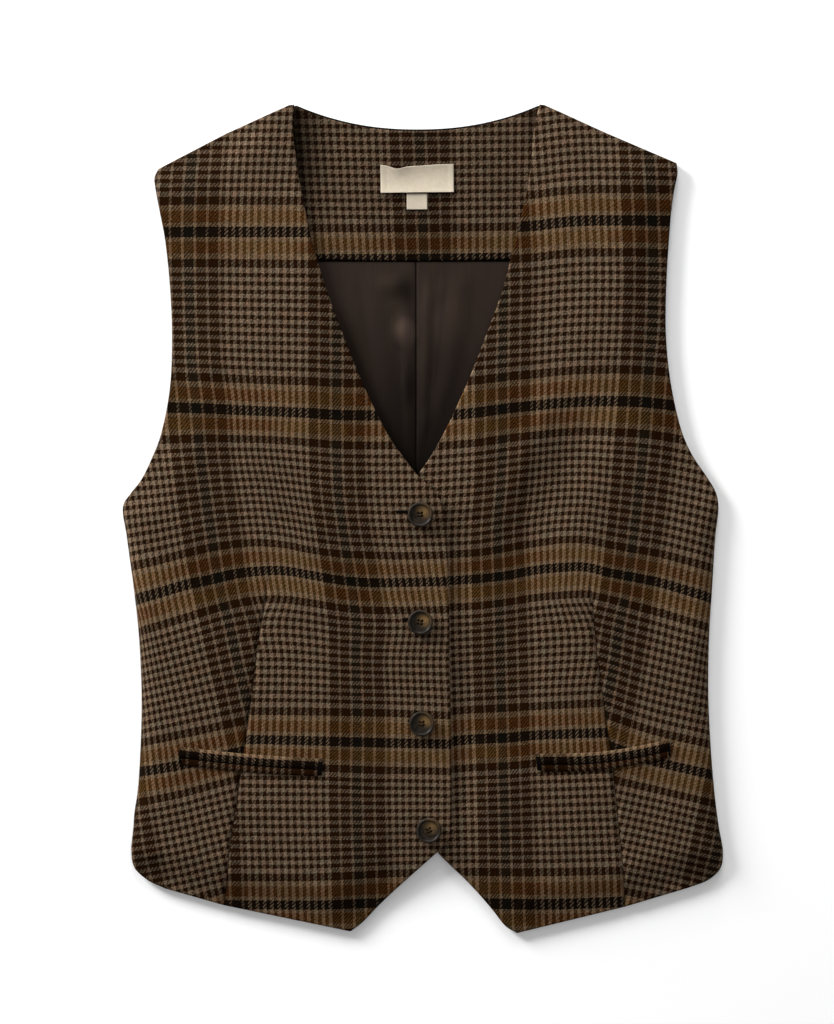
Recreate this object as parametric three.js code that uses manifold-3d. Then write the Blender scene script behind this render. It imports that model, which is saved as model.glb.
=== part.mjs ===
// A woman's single-breasted suit waistcoat in checked wool, buttoned and laid flat on its back.
// Millimetres: +X is to the right as seen from above, +Y points to the neck, +Z is up.
// The tables count from the middle of the chest. At the end the whole is moved so that its
// origin is the middle of its underside.

import * as THREE from 'three';
import { mergeVertices } from 'three/addons/utils/BufferGeometryUtils.js';
import Module from 'manifold-3d';

const wasm = await Module();
wasm.setup();

// Thickness of each layer of cloth, and the clearance between layers and along seams
const BACK_WALL = 2.8;
const FRONT_WALL = 2.6;
const FACING_WALL = 1.5;
const LINING_WALL = 1.0;
const LABEL_WALL = 1.0;
const SEAM_GAP = 0.3;

// Heights of the layers over the surface
const FIRST_LAYER = BACK_WALL + SEAM_GAP;
const CROWN = 6.6;
const HEM_REST = 0.5;
const ROLL_FOOT = 0.3;

// How far in from each edge a front has risen to its crown
const INNER_FALL = 36;
const ARMHOLE_FALL = 30;
const HEM_FALL = 32;
const SHOULDER_FALL = 26;
const FACING_OVERLAP = 15;

// The side seam's roll, the softened cut edges and the pressed dart
const ROLL_WIDTH = 15;
const ROLL_ANGLES = [90, 72, 54, 37, 21, 8, 0];
const EDGE_SOFTENING = 1.8;
const DART_DEPTH = 0.9;
const DART_HALF_WIDTH = 3.5;
const DART_FADE = 0.5;

// Spacing of the sections and of the lines that run up a front
const ROW_STEP = 21;
const EDGE_STEPS = [0, 0.7, 1.8, 4.5];
const OVERLAP_STEPS = { steps: [0.5, 1], width: 39, mostShare: 0.4 };
const END_ROWS = [0.1, 0.4];
const INNER_LINES = 4;
const OUTER_LINES = 4;

// The soft fold across the wearer's left front
const CHEST_FOLD = { fromX: 110, fromY: 66, toX: 54, toY: -38, height: 1.1, width: 17 };

// Back neck, back hem and facing
const NECK = { leftX: -96, rightX: 88, pointY: 312, middleY: 293.6, hollow: 2.2 };
const BACK_HEM = { sideY: -241, middleY: -235 };
const BACK_INSET = { laid: 0.9, rolled: 3.9 };
const BACK_COLUMNS = { shoulder: 3, neck: 7 };
const FACING = { topLeft: -105, topRight: 97, footLeft: -92, footRight: 78, footY: 195.5, sag: 1.8 };
const FACING_STEPS = { columns: 12, rows: 5 };
const SHOULDER_SLOPE = 0.55;
const NECK_RISE_POWER = 2;

// Labels, sewn to the facing
const MAIN_LABEL = { width: 54.8, height: 21, x: -4.4, y: 255.2, turn: 0.6 };
const SIZE_LABEL = { width: 15.4, height: 12.4, x: -4.5, y: 238.2, turn: 0.3 };

// Buttons: horn type with four holes
const BUTTON_RADIUS = 9.4;
const BUTTON_SIDES = 26;
const BUTTON_HOLE = { radius: 0.85, apartX: 2.9, apartY: 2.4, sides: 8, depth: 10 };
const BUTTON_PROFILE = [
  { radius: 0, height: 0 },
  { radius: 6.6, height: 0 },
  { radius: 8.8, height: 0.9 },
  { radius: BUTTON_RADIUS, height: 2.1 },
  { radius: 9.1, height: 3.3 },
  { radius: 8.1, height: 3.6 },
  { radius: 7.2, height: 3.1 },
  { radius: 6.3, height: 2.5 },
  { radius: 3.4, height: 2.2 },
  { radius: 0, height: 2.1 },
];

// Turns lines of numbers into rows with named columns
function table(columns, lines) {
  return lines.map((line) => Object.fromEntries(columns.map((name, i) => [name, line[i]])));
}

// One section of a front for each row, from the hem up to the shoulder. inner is the edge by the
// buttons and the neck, dart the line of the dart and its run up to the shoulder, outer the side
// seam and the armhole. rest and outerRest are the heights of the underside at those edges, flat
// is how far in from the inner edge it keeps that height, and roll is 1 where the side rolls
// down to the surface and 0 where the edge just lies.
const FRONT_COLUMNS = [
  'innerX', 'innerY', 'dartX', 'dartY', 'outerX', 'outerY', 'rest', 'flat', 'roll', 'outerRest',
];

// The wearer's right front, which lies on top
const RIGHT_SECTIONS = table(FRONT_COLUMNS, [
  [-54.5, -309.7, -149.5, -290, -193.5, -277.5, 0.5, 0, 0, 0.5],
  [-46.5, -303.8, -149, -285, -207, -271, 0.7, 0, 0.05, 0.5],
  [-31.5, -288.4, -148, -278, -216.5, -262, 1.4, 0, 0.2, 0.9],
  [-12, -270.2, -146.5, -262, -219, -250, 3, 0, 0.55, 2.2],
  [11.5, -249, -144.5, -242.5, -217.5, -230.5, 6, 12, 0.95, 3.1],
  [18.5, -242.5, -143.5, -235, -217, -221.5, 6, 20, 1, 3.1],
  [21.3, -220, -142, -217, -214.5, -205, 6, 30, 1, 3.1],
  [21.3, -185, -137, -184, -212.3, -172, 6, 30, 1, 3.1],
  [20.6, -136, -131, -139, -211.5, -133, 6, 30, 1, 3.1],
  [19.9, -91, -124, -94.5, -213.5, -88, 6, 30, 1, 3.1],
  [19.4, -53, -117.8, -58.5, -217, -55, 6, 30, 1, 3.1],
  [17.3, -8.5, -113.5, -19.5, -222.8, -12, 6.2, 28, 1, 3.1],
  [15, 9, -110.5, 3, -225.2, 9.8, 7.3, 20, 0.6, 3.1],
  [7.5, 21.5, -108, 20.5, -219.5, 19, 7.5, 14, 0.1, 3.1],
  [-4.1, 33, -106.5, 31, -211.5, 29.3, 7.5, 5, 0, 3.1],
  [-14.3, 46, -105.5, 45, -203.3, 46, 6.4, 0, 0, 3.1],
  [-24.8, 60.8, -105, 61.5, -197, 62.3, 5.2, 0, 0, 3.1],
  [-43.5, 98, -109.5, 98, -190, 97.5, 4.9, 0, 0, 3.1],
  [-58.5, 135, -120, 135, -188.3, 137.3, 4.9, 0, 0, 3.1],
  [-72.4, 172.5, -130, 172.5, -189.8, 173.3, 4.9, 0, 0, 3.1],
  [-83.6, 210, -138, 208, -193.5, 209.3, 4.9, 0, 0, 3.1],
  [-90.8, 243.8, -143.3, 237, -197.8, 232, 4.9, 0, 0, 3.1],
  [-95.3, 271.5, -146.3, 259.5, -200.3, 245.3, 4.9, 0, 0, 3.1],
  [-97.5, 294, -147.4, 277, -201.5, 256, 4.9, 0, 0, 3.1],
  [-96, 312, -148, 289, -198.8, 262.5, 4.9, 0, 0, 3.1],
]);

// The wearer's left front, whose button edge lies under the other
const LEFT_SECTIONS = table(FRONT_COLUMNS, [
  [70.5, -311, 151.5, -291.2, 199, -277, 0.5, 0, 0, 0.5],
  [62, -305.7, 151, -286, 214.5, -270.9, 0.6, 0, 0.05, 0.5],
  [51.8, -293, 150.8, -277.5, 223.3, -262.3, 1, 0, 0.2, 0.9],
  [36, -275, 149.6, -260.5, 225.2, -250, 1.8, 0, 0.55, 2.2],
  [11.3, -250.5, 147.8, -241.5, 222.5, -232.5, 3, 18, 0.95, 3.1],
  [-3, -232.5, 146.6, -231, 221, -221.5, 3.1, 34, 1, 3.1],
  [-13.5, -215.5, 144.8, -214, 219, -205, 3.1, 38, 1, 3.1],
  [-13.5, -182.5, 141.4, -182.5, 216.4, -173.3, 3.1, 38, 1, 3.1],
  [-13.5, -137.5, 135.4, -138, 214.5, -133.5, 3.1, 38, 1, 3.1],
  [-13.5, -94.5, 129.8, -97, 215, -89.3, 3.1, 38, 1, 3.1],
  [-13.5, -55.5, 126.8, -59.3, 217.1, -55, 3.1, 38, 1, 3.1],
  [-13.5, -12, 122.3, -19.5, 219.8, -12, 3.2, 36, 1, 3.1],
  [-13.5, 8.5, 120, 3, 221.8, 9.8, 4.1, 37, 0.6, 3.1],
  [-11.3, 21, 118, 20.5, 219.5, 20.5, 4.5, 33, 0.1, 3.1],
  [-3.6, 33.5, 117, 31.5, 213, 31.5, 4.5, 22, 0, 3.1],
  [6.4, 48, 116.3, 47.3, 202, 48, 4.5, 5, 0, 3.1],
  [16.4, 66, 115.5, 65.3, 194.3, 65.3, 4.7, 0, 0, 3.1],
  [33.5, 103, 116, 101.5, 186, 101.5, 4.9, 0, 0, 3.1],
  [47.7, 139, 119.3, 138, 182.3, 137.3, 4.9, 0, 0, 3.1],
  [60.7, 175.5, 123.8, 174, 182.5, 173.3, 4.9, 0, 0, 3.1],
  [69, 209.3, 129.8, 208.5, 184.5, 209.3, 4.9, 0, 0, 3.1],
  [76.5, 239.3, 133.5, 236.3, 186.5, 232.5, 4.9, 0, 0, 3.1],
  [81, 267.8, 136, 260.3, 188.6, 247.5, 4.9, 0, 0, 3.1],
  [83.3, 292.5, 138, 278.5, 191, 259.3, 4.9, 0, 0, 3.1],
  [87.8, 312, 139.5, 288.7, 190.3, 267, 4.9, 0, 0, 3.1],
]);

// Sections by name, where other pieces need them
const DART_APEX_SECTION = 10;
const BACK_HEM_SECTION = 4;
const UNDERARM_SECTION = 12;

// The lining that shows in the neck opening, with its middle seam and its soft folds
const LINING_SEAM_X = -5.2;
const LINING_ROWS = table(['y', 'leftX', 'rightX'], [
  [20, -17, 5],
  [36, -25, 8],
  [60, -37, 22],
  [98, -56, 41],
  [142, -73, 58],
  [170, -84, 68],
  [193, -91, 78],
]);
const LINING_STEPS = { columns: 8, perRow: 1 };
const FOLD_FADE = { fromSide: 10, side: 16, foot: 0.4, top: 0.12 };
const LINING_FOLDS = table(['topX', 'footX', 'height', 'width'], [
  [-11, -9, 0.9, 4.5],
  [-34, -20, 0.6, 9],
  [4, -2, 0.8, 5],
  [30, 8, 0.6, 10],
]);

// Each pocket's mouth, and the two welts that edge it
const POCKETS = table(['name', 'innerX', 'innerY', 'outerX', 'outerY', 'bow'], [
  ['right', -75.5, -187.6, -183, -178.6, 1.2],
  ['left', 85, -183.6, 185.5, -173, 3.8],
]);
const WELTS = table(['name', 'side', 'width', 'height', 'short'], [
  ['upper', 1, 7.8, 1.8, 0],
  ['lower', -1, 5, 1.5, 3],
]);
const WELT_STEPS = { along: 11, profile: [0, 0.16, 0.5, 0.84, 1] };
const WELT_EDGE_HEIGHT = 0.5;
const WELT_END = { length: 3, drop: 0.6 };
const WELT_ROUNDNESS = 0.6;
const MOUTH_GAP = 0.8;

// Button centres, from the neck down
const BUTTONS = table(['x', 'y', 'turn'], [
  [-2, 3.3, 4],
  [-2, -77.3, -7],
  [-0.9, -153.2, 3],
  [4.4, -233, 24],
]);

const MATERIALS = {
  cloth: { color: 0x5b4734, roughness: 0.95, metalness: 0 },
  lining: { color: 0x2e2521, roughness: 0.42, metalness: 0 },
  label: { color: 0xd9d2c3, roughness: 0.8, metalness: 0 },
  horn: { color: 0x2c221a, roughness: 0.35, metalness: 0 },
};

const radians = THREE.MathUtils.degToRad;
const mix = THREE.MathUtils.lerp;

function point(x, y, z = 0) {
  return new THREE.Vector3(x, y, z);
}

// 1 at the edge, 0 from q = 1 on, with a soft start and end
function fall(q) {
  const share = THREE.MathUtils.clamp(q, 0, 1);
  return (1 - share) * (1 - share) * (1 + 2 * share);
}

// A column's value at a place between two sections
function columnAt(sections, name, place) {
  const index = Math.min(Math.floor(place), sections.length - 2);
  return mix(sections[index][name], sections[index + 1][name], place - index);
}

function pathOf(sections, part) {
  const points = sections.map((row) => point(row[part + 'X'], row[part + 'Y']));
  return new THREE.CatmullRomCurve3(points, false, 'centripetal');
}

// A front: its three paths, their sampled points and its closed outline
function makeFront(sections) {
  const last = sections.length - 1;
  const front = { sections, last, samples: {} };
  for (const part of ['inner', 'dart', 'outer']) {
    const path = pathOf(sections, part);
    front[part] = (place) => path.getPoint(place / last);
    const places = Array.from({ length: last * 4 + 1 }, (_, i) => i / 4);
    front.samples[part] = places.map((place) => ({ place, at: front[part](place) }));
  }
  for (const [name, place] of [['hem', 0], ['shoulder', last]]) {
    const ends = [front.inner(place), front.dart(place), front.outer(place)];
    front.samples[name] = ends.map((at, i) => ({ place: i, at }));
  }
  front.outline = [
    ...front.samples.inner.map((sample) => sample.at),
    ...front.samples.outer.map((sample) => sample.at).reverse(),
  ];
  return front;
}

// The nearest point of a sampled path: how far it is, and its place along the path
function nearest(samples, x, y) {
  let found = { distance: Infinity, place: 0 };
  for (let i = 0; i + 1 < samples.length; i += 1) {
    const from = samples[i].at;
    const to = samples[i + 1].at;
    const runX = to.x - from.x;
    const runY = to.y - from.y;
    const share = ((x - from.x) * runX + (y - from.y) * runY) / (runX * runX + runY * runY);
    const held = THREE.MathUtils.clamp(share, 0, 1);
    const distance = Math.hypot(x - from.x - held * runX, y - from.y - held * runY);
    if (distance < found.distance) {
      found = { distance, place: mix(samples[i].place, samples[i + 1].place, held) };
    }
  }
  return found;
}

function isInside(outline, x, y) {
  let inside = false;
  outline.forEach((from, i) => {
    const to = outline[(i + 1) % outline.length];
    if ((from.y > y) !== (to.y > y)) {
      const crossing = from.x + ((y - from.y) / (to.y - from.y)) * (to.x - from.x);
      if (x < crossing) inside = !inside;
    }
  });
  return inside;
}

const rightFront = makeFront(RIGHT_SECTIONS);
const leftFront = makeFront(LEFT_SECTIONS);
rightFront.liesOn = leftFront;
leftFront.fold = CHEST_FOLD;

// Height of a soft straight fold over the cloth round it
function foldHeight(fold, x, y) {
  const runX = fold.toX - fold.fromX;
  const runY = fold.toY - fold.fromY;
  const length = Math.hypot(runX, runY);
  const along = ((x - fold.fromX) * runX + (y - fold.fromY) * runY) / length;
  const across = ((x - fold.fromX) * runY - (y - fold.fromY) * runX) / length;
  const ends = fall(Math.abs(along / length - 0.5) * 2);
  return fold.height * ends * fall(Math.abs(across) / fold.width);
}

// Height of a front's underside
function underside(front, x, y) {
  const inner = nearest(front.samples.inner, x, y);
  const outer = nearest(front.samples.outer, x, y);
  const rest = columnAt(front.sections, 'rest', inner.place);
  const flat = columnAt(front.sections, 'flat', inner.place);
  const roll = columnAt(front.sections, 'roll', outer.place);
  const outerRest = columnAt(front.sections, 'outerRest', outer.place);
  const shoulderRest = mix(FIRST_LAYER, rest, fall((inner.distance - FACING_OVERLAP) / INNER_FALL));
  const innerShare = fall((inner.distance - flat) / INNER_FALL);
  const hemDistance = nearest(front.samples.hem, x, y).distance;
  const shoulderDistance = nearest(front.samples.shoulder, x, y).distance;
  const drop = Math.max(
    (CROWN - rest) * innerShare,
    (CROWN - outerRest) * (1 - roll) * fall(outer.distance / ARMHOLE_FALL),
    (CROWN - HEM_REST) * fall(hemDistance / HEM_FALL),
    (CROWN - shoulderRest) * fall(shoulderDistance / SHOULDER_FALL),
  );
  let height = CROWN - drop;
  if (rest > CROWN) height = Math.max(height, mix(CROWN, rest, innerShare));
  if (front.liesOn && isInside(front.liesOn.outline, x, y)) {
    height = Math.max(height, outerFace(front.liesOn, x, y) + SEAM_GAP);
  }
  return height;
}

// How far the outer face drops at the cut edges, which are turned and pressed
function edgeDrop(distance) {
  const share = THREE.MathUtils.clamp(1 - distance / EDGE_SOFTENING, 0, 1);
  return EDGE_SOFTENING * (1 - Math.sqrt(1 - share * share));
}

// Height of a front's outer face, away from its edges and its dart
function outerFace(front, x, y) {
  const fold = front.fold ? foldHeight(front.fold, x, y) : 0;
  return underside(front, x, y) + FRONT_WALL + fold;
}

// How far the dart's seam draws the outer face in
function dartDrop(front, x, y) {
  const dart = nearest(front.samples.dart, x, y);
  const below = THREE.MathUtils.clamp(DART_APEX_SECTION + DART_FADE - dart.place, 0, 1);
  return DART_DEPTH * below * fall(dart.distance / DART_HALF_WIDTH);
}

// Outer and inner points of a front at a plan position clear of the side's roll
function laidPoints(front, x, y) {
  const edges = ['inner', 'outer', 'hem', 'shoulder'].map((name) => {
    return nearest(front.samples[name], x, y).distance;
  });
  const top = outerFace(front, x, y) - edgeDrop(Math.min(...edges)) - dartDrop(front, x, y);
  return { outer: point(x, y, top), inner: point(x, y, underside(front, x, y)) };
}

// Outer and inner points in the last stretch before the side seam
function sidePoints(front, place, angle) {
  const seam = front.outer(place);
  const inward = front.dart(place).sub(seam).setZ(0).normalize();
  const roll = columnAt(front.sections, 'roll', place);
  const shoulder = seam.clone().addScaledVector(inward, ROLL_WIDTH);
  const rise = underside(front, shoulder.x, shoulder.y) - ROLL_FOOT;
  const across = 1 - Math.cos(radians(angle));
  const up = Math.sin(radians(angle));
  const outer = seam.clone().addScaledVector(inward, ROLL_WIDTH * across);
  const laid = laidPoints(front, outer.x, outer.y);
  outer.z = ROLL_FOOT + (rise + FRONT_WALL) * up;
  const inner = seam.clone().addScaledVector(inward, FRONT_WALL + (ROLL_WIDTH - FRONT_WALL) * across);
  inner.z = ROLL_FOOT + rise * up;
  return { outer: laid.outer.lerp(outer, roll), inner: laid.inner.lerp(inner, roll) };
}

// Places of the sections that are built: each named one, more between those far apart, and two
// close to each end for the turned edge
function rowPlaces(front) {
  const places = [];
  for (let index = 0; index < front.last; index += 1) {
    const inner = front.inner(index).distanceTo(front.inner(index + 1));
    const outer = front.outer(index).distanceTo(front.outer(index + 1));
    const steps = Math.ceil(Math.max(inner, outer) / ROW_STEP);
    for (let step = 0; step < steps; step += 1) places.push(index + step / steps);
  }
  const ends = END_ROWS.map((share) => front.last - share);
  return [...places, ...END_ROWS, ...ends, front.last].sort((a, b) => a - b);
}

// Plan positions of one section: from the inner edge to the dart, and on to the side's roll
function sectionPlan(front, place) {
  const inner = front.inner(place);
  const dart = front.dart(place);
  const outer = front.outer(place);
  const innerRun = inner.distanceTo(dart);
  const outerRun = outer.distanceTo(dart);
  const overlap = Math.min(OVERLAP_STEPS.width, OVERLAP_STEPS.mostShare * innerRun);
  const steps = [...EDGE_STEPS, ...OVERLAP_STEPS.steps.map((step) => step * overlap)];
  const plan = steps.map((step) => inner.clone().lerp(dart, step / innerRun));
  const firstShare = overlap / innerRun;
  const lastShare = 1 - DART_HALF_WIDTH / innerRun;
  for (let line = 1; line <= INNER_LINES; line += 1) {
    plan.push(inner.clone().lerp(dart, mix(firstShare, lastShare, line / INNER_LINES)));
  }
  plan.push(dart.clone());
  const nearShare = DART_HALF_WIDTH / outerRun;
  const farShare = 1 - ROLL_WIDTH / outerRun;
  for (let line = 0; line < OUTER_LINES; line += 1) {
    plan.push(dart.clone().lerp(outer, mix(nearShare, farShare, line / OUTER_LINES)));
  }
  return plan;
}

// A closed wall between two grids of points. counterclockwise says that going along a row and
// then on to the next row turns to the left as seen from outside.
function wall(outer, inner, counterclockwise) {
  const rows = outer.length;
  const columns = outer[0].length;
  const points = [...outer.flat(), ...inner.flat()];
  const faces = [];
  const out = (row, column) => row * columns + column;
  const under = (row, column) => (rows + row) * columns + column;
  const quad = (a, b, c, d) => {
    faces.push(...(counterclockwise ? [a, b, c, a, c, d] : [a, c, b, a, d, c]));
  };
  for (let row = 0; row + 1 < rows; row += 1) {
    for (let column = 0; column + 1 < columns; column += 1) {
      quad(out(row, column), out(row, column + 1), out(row + 1, column + 1), out(row + 1, column));
      quad(under(row, column), under(row + 1, column), under(row + 1, column + 1), under(row, column + 1));
    }
    quad(out(row, 0), out(row + 1, 0), under(row + 1, 0), under(row, 0));
    const end = columns - 1;
    quad(out(row, end), under(row, end), under(row + 1, end), out(row + 1, end));
  }
  for (let column = 0; column + 1 < columns; column += 1) {
    quad(out(0, column), under(0, column), under(0, column + 1), out(0, column + 1));
    const top = rows - 1;
    quad(out(top, column), out(top, column + 1), under(top, column + 1), under(top, column));
  }
  const geometry = new THREE.BufferGeometry();
  const numbers = points.flatMap((at) => at.toArray());
  geometry.setAttribute('position', new THREE.Float32BufferAttribute(numbers, 3));
  geometry.setIndex(faces);
  geometry.computeVertexNormals();
  return geometry;
}

function buildFront(front, counterclockwise) {
  const grid = rowPlaces(front).map((place) => [
    ...sectionPlan(front, place).map((at) => laidPoints(front, at.x, at.y)),
    ...ROLL_ANGLES.map((angle) => sidePoints(front, place, angle)),
  ]);
  const outer = grid.map((row) => row.map((pair) => pair.outer));
  const inner = grid.map((row) => row.map((pair) => pair.inner));
  return wall(outer, inner, counterclockwise);
}

// The line of the back's shoulders and neck, by x
function neckLine(x) {
  const middle = (NECK.leftX + NECK.rightX) / 2;
  const half = (NECK.rightX - NECK.leftX) / 2;
  const rise = NECK.pointY - NECK.middleY;
  return NECK.middleY + rise * Math.abs((x - middle) / half) ** NECK.hollow;
}

// A side point of the back, a little in from the front's edge or from its roll
function backSide(front, place) {
  const seam = front.outer(place);
  const inward = front.dart(place).sub(seam).normalize();
  const roll = columnAt(front.sections, 'roll', place);
  return seam.addScaledVector(inward, BACK_INSET.laid + BACK_INSET.rolled * roll);
}

// The back's top row from one shoulder tip over the neck to the other
function backTop() {
  const left = backSide(rightFront, rightFront.last);
  const right = backSide(leftFront, leftFront.last);
  const neckLeft = point(NECK.leftX, NECK.pointY - BACK_INSET.laid);
  const neckRight = point(NECK.rightX, NECK.pointY - BACK_INSET.laid);
  const row = [];
  for (let step = 0; step < BACK_COLUMNS.shoulder; step += 1) {
    row.push(left.clone().lerp(neckLeft, step / BACK_COLUMNS.shoulder));
  }
  for (let step = 0; step < BACK_COLUMNS.neck; step += 1) {
    const x = mix(NECK.leftX, NECK.rightX, step / BACK_COLUMNS.neck);
    row.push(point(x, neckLine(x) - BACK_INSET.laid));
  }
  for (let step = 0; step <= BACK_COLUMNS.shoulder; step += 1) {
    row.push(neckRight.clone().lerp(right, step / BACK_COLUMNS.shoulder));
  }
  return row;
}

// The back: one flat wall from its hem to the shoulders
function buildBack() {
  const top = backTop();
  const width = top[top.length - 1].x - top[0].x;
  const shares = top.map((at) => (at.x - top[0].x) / width);
  const rises = top.map((at, i) => at.y - mix(top[0].y, top[top.length - 1].y, shares[i]));
  const count = rightFront.last - BACK_HEM_SECTION + 1;
  const places = Array.from({ length: count }, (_, i) => BACK_HEM_SECTION + i);
  const rows = places.map((place) => {
    const left = backSide(rightFront, place);
    const right = backSide(leftFront, place);
    const upward = Math.max(0, (place - UNDERARM_SECTION) / (rightFront.last - UNDERARM_SECTION));
    return shares.map((share, i) => {
      const across = left.clone().lerp(right, share);
      if (place === BACK_HEM_SECTION) {
        across.y = mix(BACK_HEM.sideY, BACK_HEM.middleY, Math.sin(Math.PI * share));
      }
      return point(across.x, across.y + rises[i] * upward ** NECK_RISE_POWER);
    });
  });
  const outer = rows.map((row) => row.map((at) => point(at.x, at.y, BACK_WALL)));
  return wall(outer, rows, true);
}

// The facing inside the back neck, in the cloth of the fronts
function buildFacing() {
  const rows = [];
  for (let step = 0; step <= FACING_STEPS.rows; step += 1) {
    const up = step / FACING_STEPS.rows;
    const row = [];
    for (let column = 0; column <= FACING_STEPS.columns; column += 1) {
      const share = column / FACING_STEPS.columns;
      const footX = mix(FACING.footLeft, FACING.footRight, share);
      const topX = mix(FACING.topLeft, FACING.topRight, share);
      const outside = Math.max(NECK.leftX - topX, topX - NECK.rightX, 0);
      const topY = outside > 0 ? NECK.pointY - outside * SHOULDER_SLOPE : neckLine(topX);
      const footY = FACING.footY - FACING.sag * Math.sin(Math.PI * share);
      row.push(point(mix(footX, topX, up), mix(footY, topY - BACK_INSET.laid, up), FIRST_LAYER));
    }
    rows.push(row);
  }
  const outer = rows.map((row) => row.map((at) => point(at.x, at.y, FIRST_LAYER + FACING_WALL)));
  return wall(outer, rows, true);
}

// Height of the lining's folds, which die out under the fronts and at both ends
function liningFolds(x, y, leftX, rightX) {
  const footY = LINING_ROWS[0].y;
  const topY = LINING_ROWS[LINING_ROWS.length - 1].y;
  const up = (y - footY) / (topY - footY);
  const sides = 1 - fall((Math.min(x - leftX, rightX - x) - FOLD_FADE.fromSide) / FOLD_FADE.side);
  const ends = 1 - fall(Math.min(up / FOLD_FADE.foot, (1 - up) / FOLD_FADE.top));
  const heights = LINING_FOLDS.map((fold) => {
    return fold.height * fall(Math.abs(x - mix(fold.footX, fold.topX, up)) / fold.width);
  });
  return Math.max(...heights) * sides * ends;
}

function buildLining(side) {
  const outer = [];
  const inner = [];
  const places = (LINING_ROWS.length - 1) * LINING_STEPS.perRow;
  for (let step = 0; step <= places; step += 1) {
    const place = step / LINING_STEPS.perRow;
    const y = columnAt(LINING_ROWS, 'y', place);
    const leftX = columnAt(LINING_ROWS, 'leftX', place);
    const rightX = columnAt(LINING_ROWS, 'rightX', place);
    const seamX = LINING_SEAM_X + (side * SEAM_GAP) / 2;
    const outerRow = [];
    const innerRow = [];
    for (let column = 0; column <= LINING_STEPS.columns; column += 1) {
      const share = column / LINING_STEPS.columns;
      const x = side < 0 ? mix(leftX, seamX, share) : mix(seamX, rightX, share);
      const lift = liningFolds(x, y, leftX, rightX);
      innerRow.push(point(x, y, FIRST_LAYER + lift));
      outerRow.push(point(x, y, FIRST_LAYER + lift + LINING_WALL));
    }
    outer.push(outerRow);
    inner.push(innerRow);
  }
  return wall(outer, inner, true);
}

// A label sewn flat to the facing
function buildLabel(label) {
  const columns = 4;
  const steps = 2;
  const low = FIRST_LAYER + FACING_WALL + SEAM_GAP;
  const turn = radians(label.turn);
  const grid = (height) => Array.from({ length: steps + 1 }, (_, row) => {
    return Array.from({ length: columns + 1 }, (__, column) => {
      const across = (column / columns - 0.5) * label.width;
      const up = (row / steps - 0.5) * label.height;
      const x = label.x + across * Math.cos(turn) - up * Math.sin(turn);
      const y = label.y + across * Math.sin(turn) + up * Math.cos(turn);
      return point(x, y, height);
    });
  });
  return wall(grid(low + LABEL_WALL), grid(low), true);
}

// A welt along one side of a pocket's mouth, made from the front's points moved out
function buildWelt(pocket, welt) {
  const front = pocket.name === 'right' ? rightFront : leftFront;
  const run = point(pocket.outerX - pocket.innerX, pocket.outerY - pocket.innerY);
  const length = run.length();
  const along = run.clone().normalize();
  const up = along.x > 0 ? point(-along.y, along.x) : point(along.y, -along.x);
  const outer = [];
  const inner = [];
  for (let step = 0; step <= WELT_STEPS.along; step += 1) {
    const share = mix(welt.short, length - welt.short, step / WELT_STEPS.along) / length;
    const sag = pocket.bow * Math.sin(Math.PI * share);
    const end = fall((Math.min(share, 1 - share) * length) / WELT_END.length);
    const outerRow = [];
    const innerRow = [];
    for (const across of WELT_STEPS.profile) {
      const offset = welt.side * (MOUTH_GAP / 2 + welt.width * across) - sag;
      const at = point(pocket.innerX, pocket.innerY).addScaledVector(run, share).addScaledVector(up, offset);
      const low = outerFace(front, at.x, at.y) + SEAM_GAP;
      const round = Math.sin(Math.PI * across) ** WELT_ROUNDNESS;
      const high = WELT_EDGE_HEIGHT + (welt.height - WELT_EDGE_HEIGHT) * round * (1 - end * WELT_END.drop);
      innerRow.push(point(at.x, at.y, low));
      outerRow.push(point(at.x, at.y, low + high));
    }
    outer.push(outerRow);
    inner.push(innerRow);
  }
  return wall(outer, inner, (along.x < 0) === (welt.side > 0));
}

// A manifold solid from a closed geometry
function solidOf(geometry) {
  geometry.deleteAttribute('normal');
  geometry.deleteAttribute('uv');
  const merged = mergeVertices(geometry, 1e-4);
  const vertProperties = new Float32Array(merged.attributes.position.array);
  const triVerts = new Uint32Array(merged.index.array);
  return new wasm.Manifold(new wasm.Mesh({ numProp: 3, vertProperties, triVerts }));
}

function geometryOf(solid) {
  const mesh = solid.getMesh();
  const geometry = new THREE.BufferGeometry();
  geometry.setAttribute('position', new THREE.Float32BufferAttribute(mesh.vertProperties, 3));
  geometry.setIndex(Array.from(mesh.triVerts));
  geometry.computeVertexNormals();
  return geometry;
}

// A button with its four holes, standing on z = 0
function buildButton() {
  const profile = BUTTON_PROFILE.map((step) => new THREE.Vector2(step.radius, step.height));
  const disc = new THREE.LatheGeometry(profile, BUTTON_SIDES).rotateX(Math.PI / 2);
  let solid = solidOf(disc);
  for (const across of [-0.5, 0.5]) {
    for (const up of [-0.5, 0.5]) {
      const { radius, sides, depth } = BUTTON_HOLE;
      const hole = new THREE.CylinderGeometry(radius, radius, depth, sides).rotateX(Math.PI / 2);
      hole.translate(across * BUTTON_HOLE.apartX, up * BUTTON_HOLE.apartY, 0);
      solid = solid.subtract(solidOf(hole));
    }
  }
  return geometryOf(solid);
}

// The lowest place where a button clears the front that it lies on
function buttonSeat(button) {
  let seat = 0;
  for (let turn = 0; turn < 360; turn += 45) {
    const x = button.x + BUTTON_RADIUS * Math.cos(radians(turn));
    const y = button.y + BUTTON_RADIUS * Math.sin(radians(turn));
    seat = Math.max(seat, outerFace(rightFront, x, y));
  }
  return seat + SEAM_GAP;
}

const waistcoat = new THREE.Group();

function add(name, geometry, material) {
  const mesh = new THREE.Mesh(geometry, new THREE.MeshStandardMaterial(MATERIALS[material]));
  mesh.name = name;
  waistcoat.add(mesh);
  return mesh;
}

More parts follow.
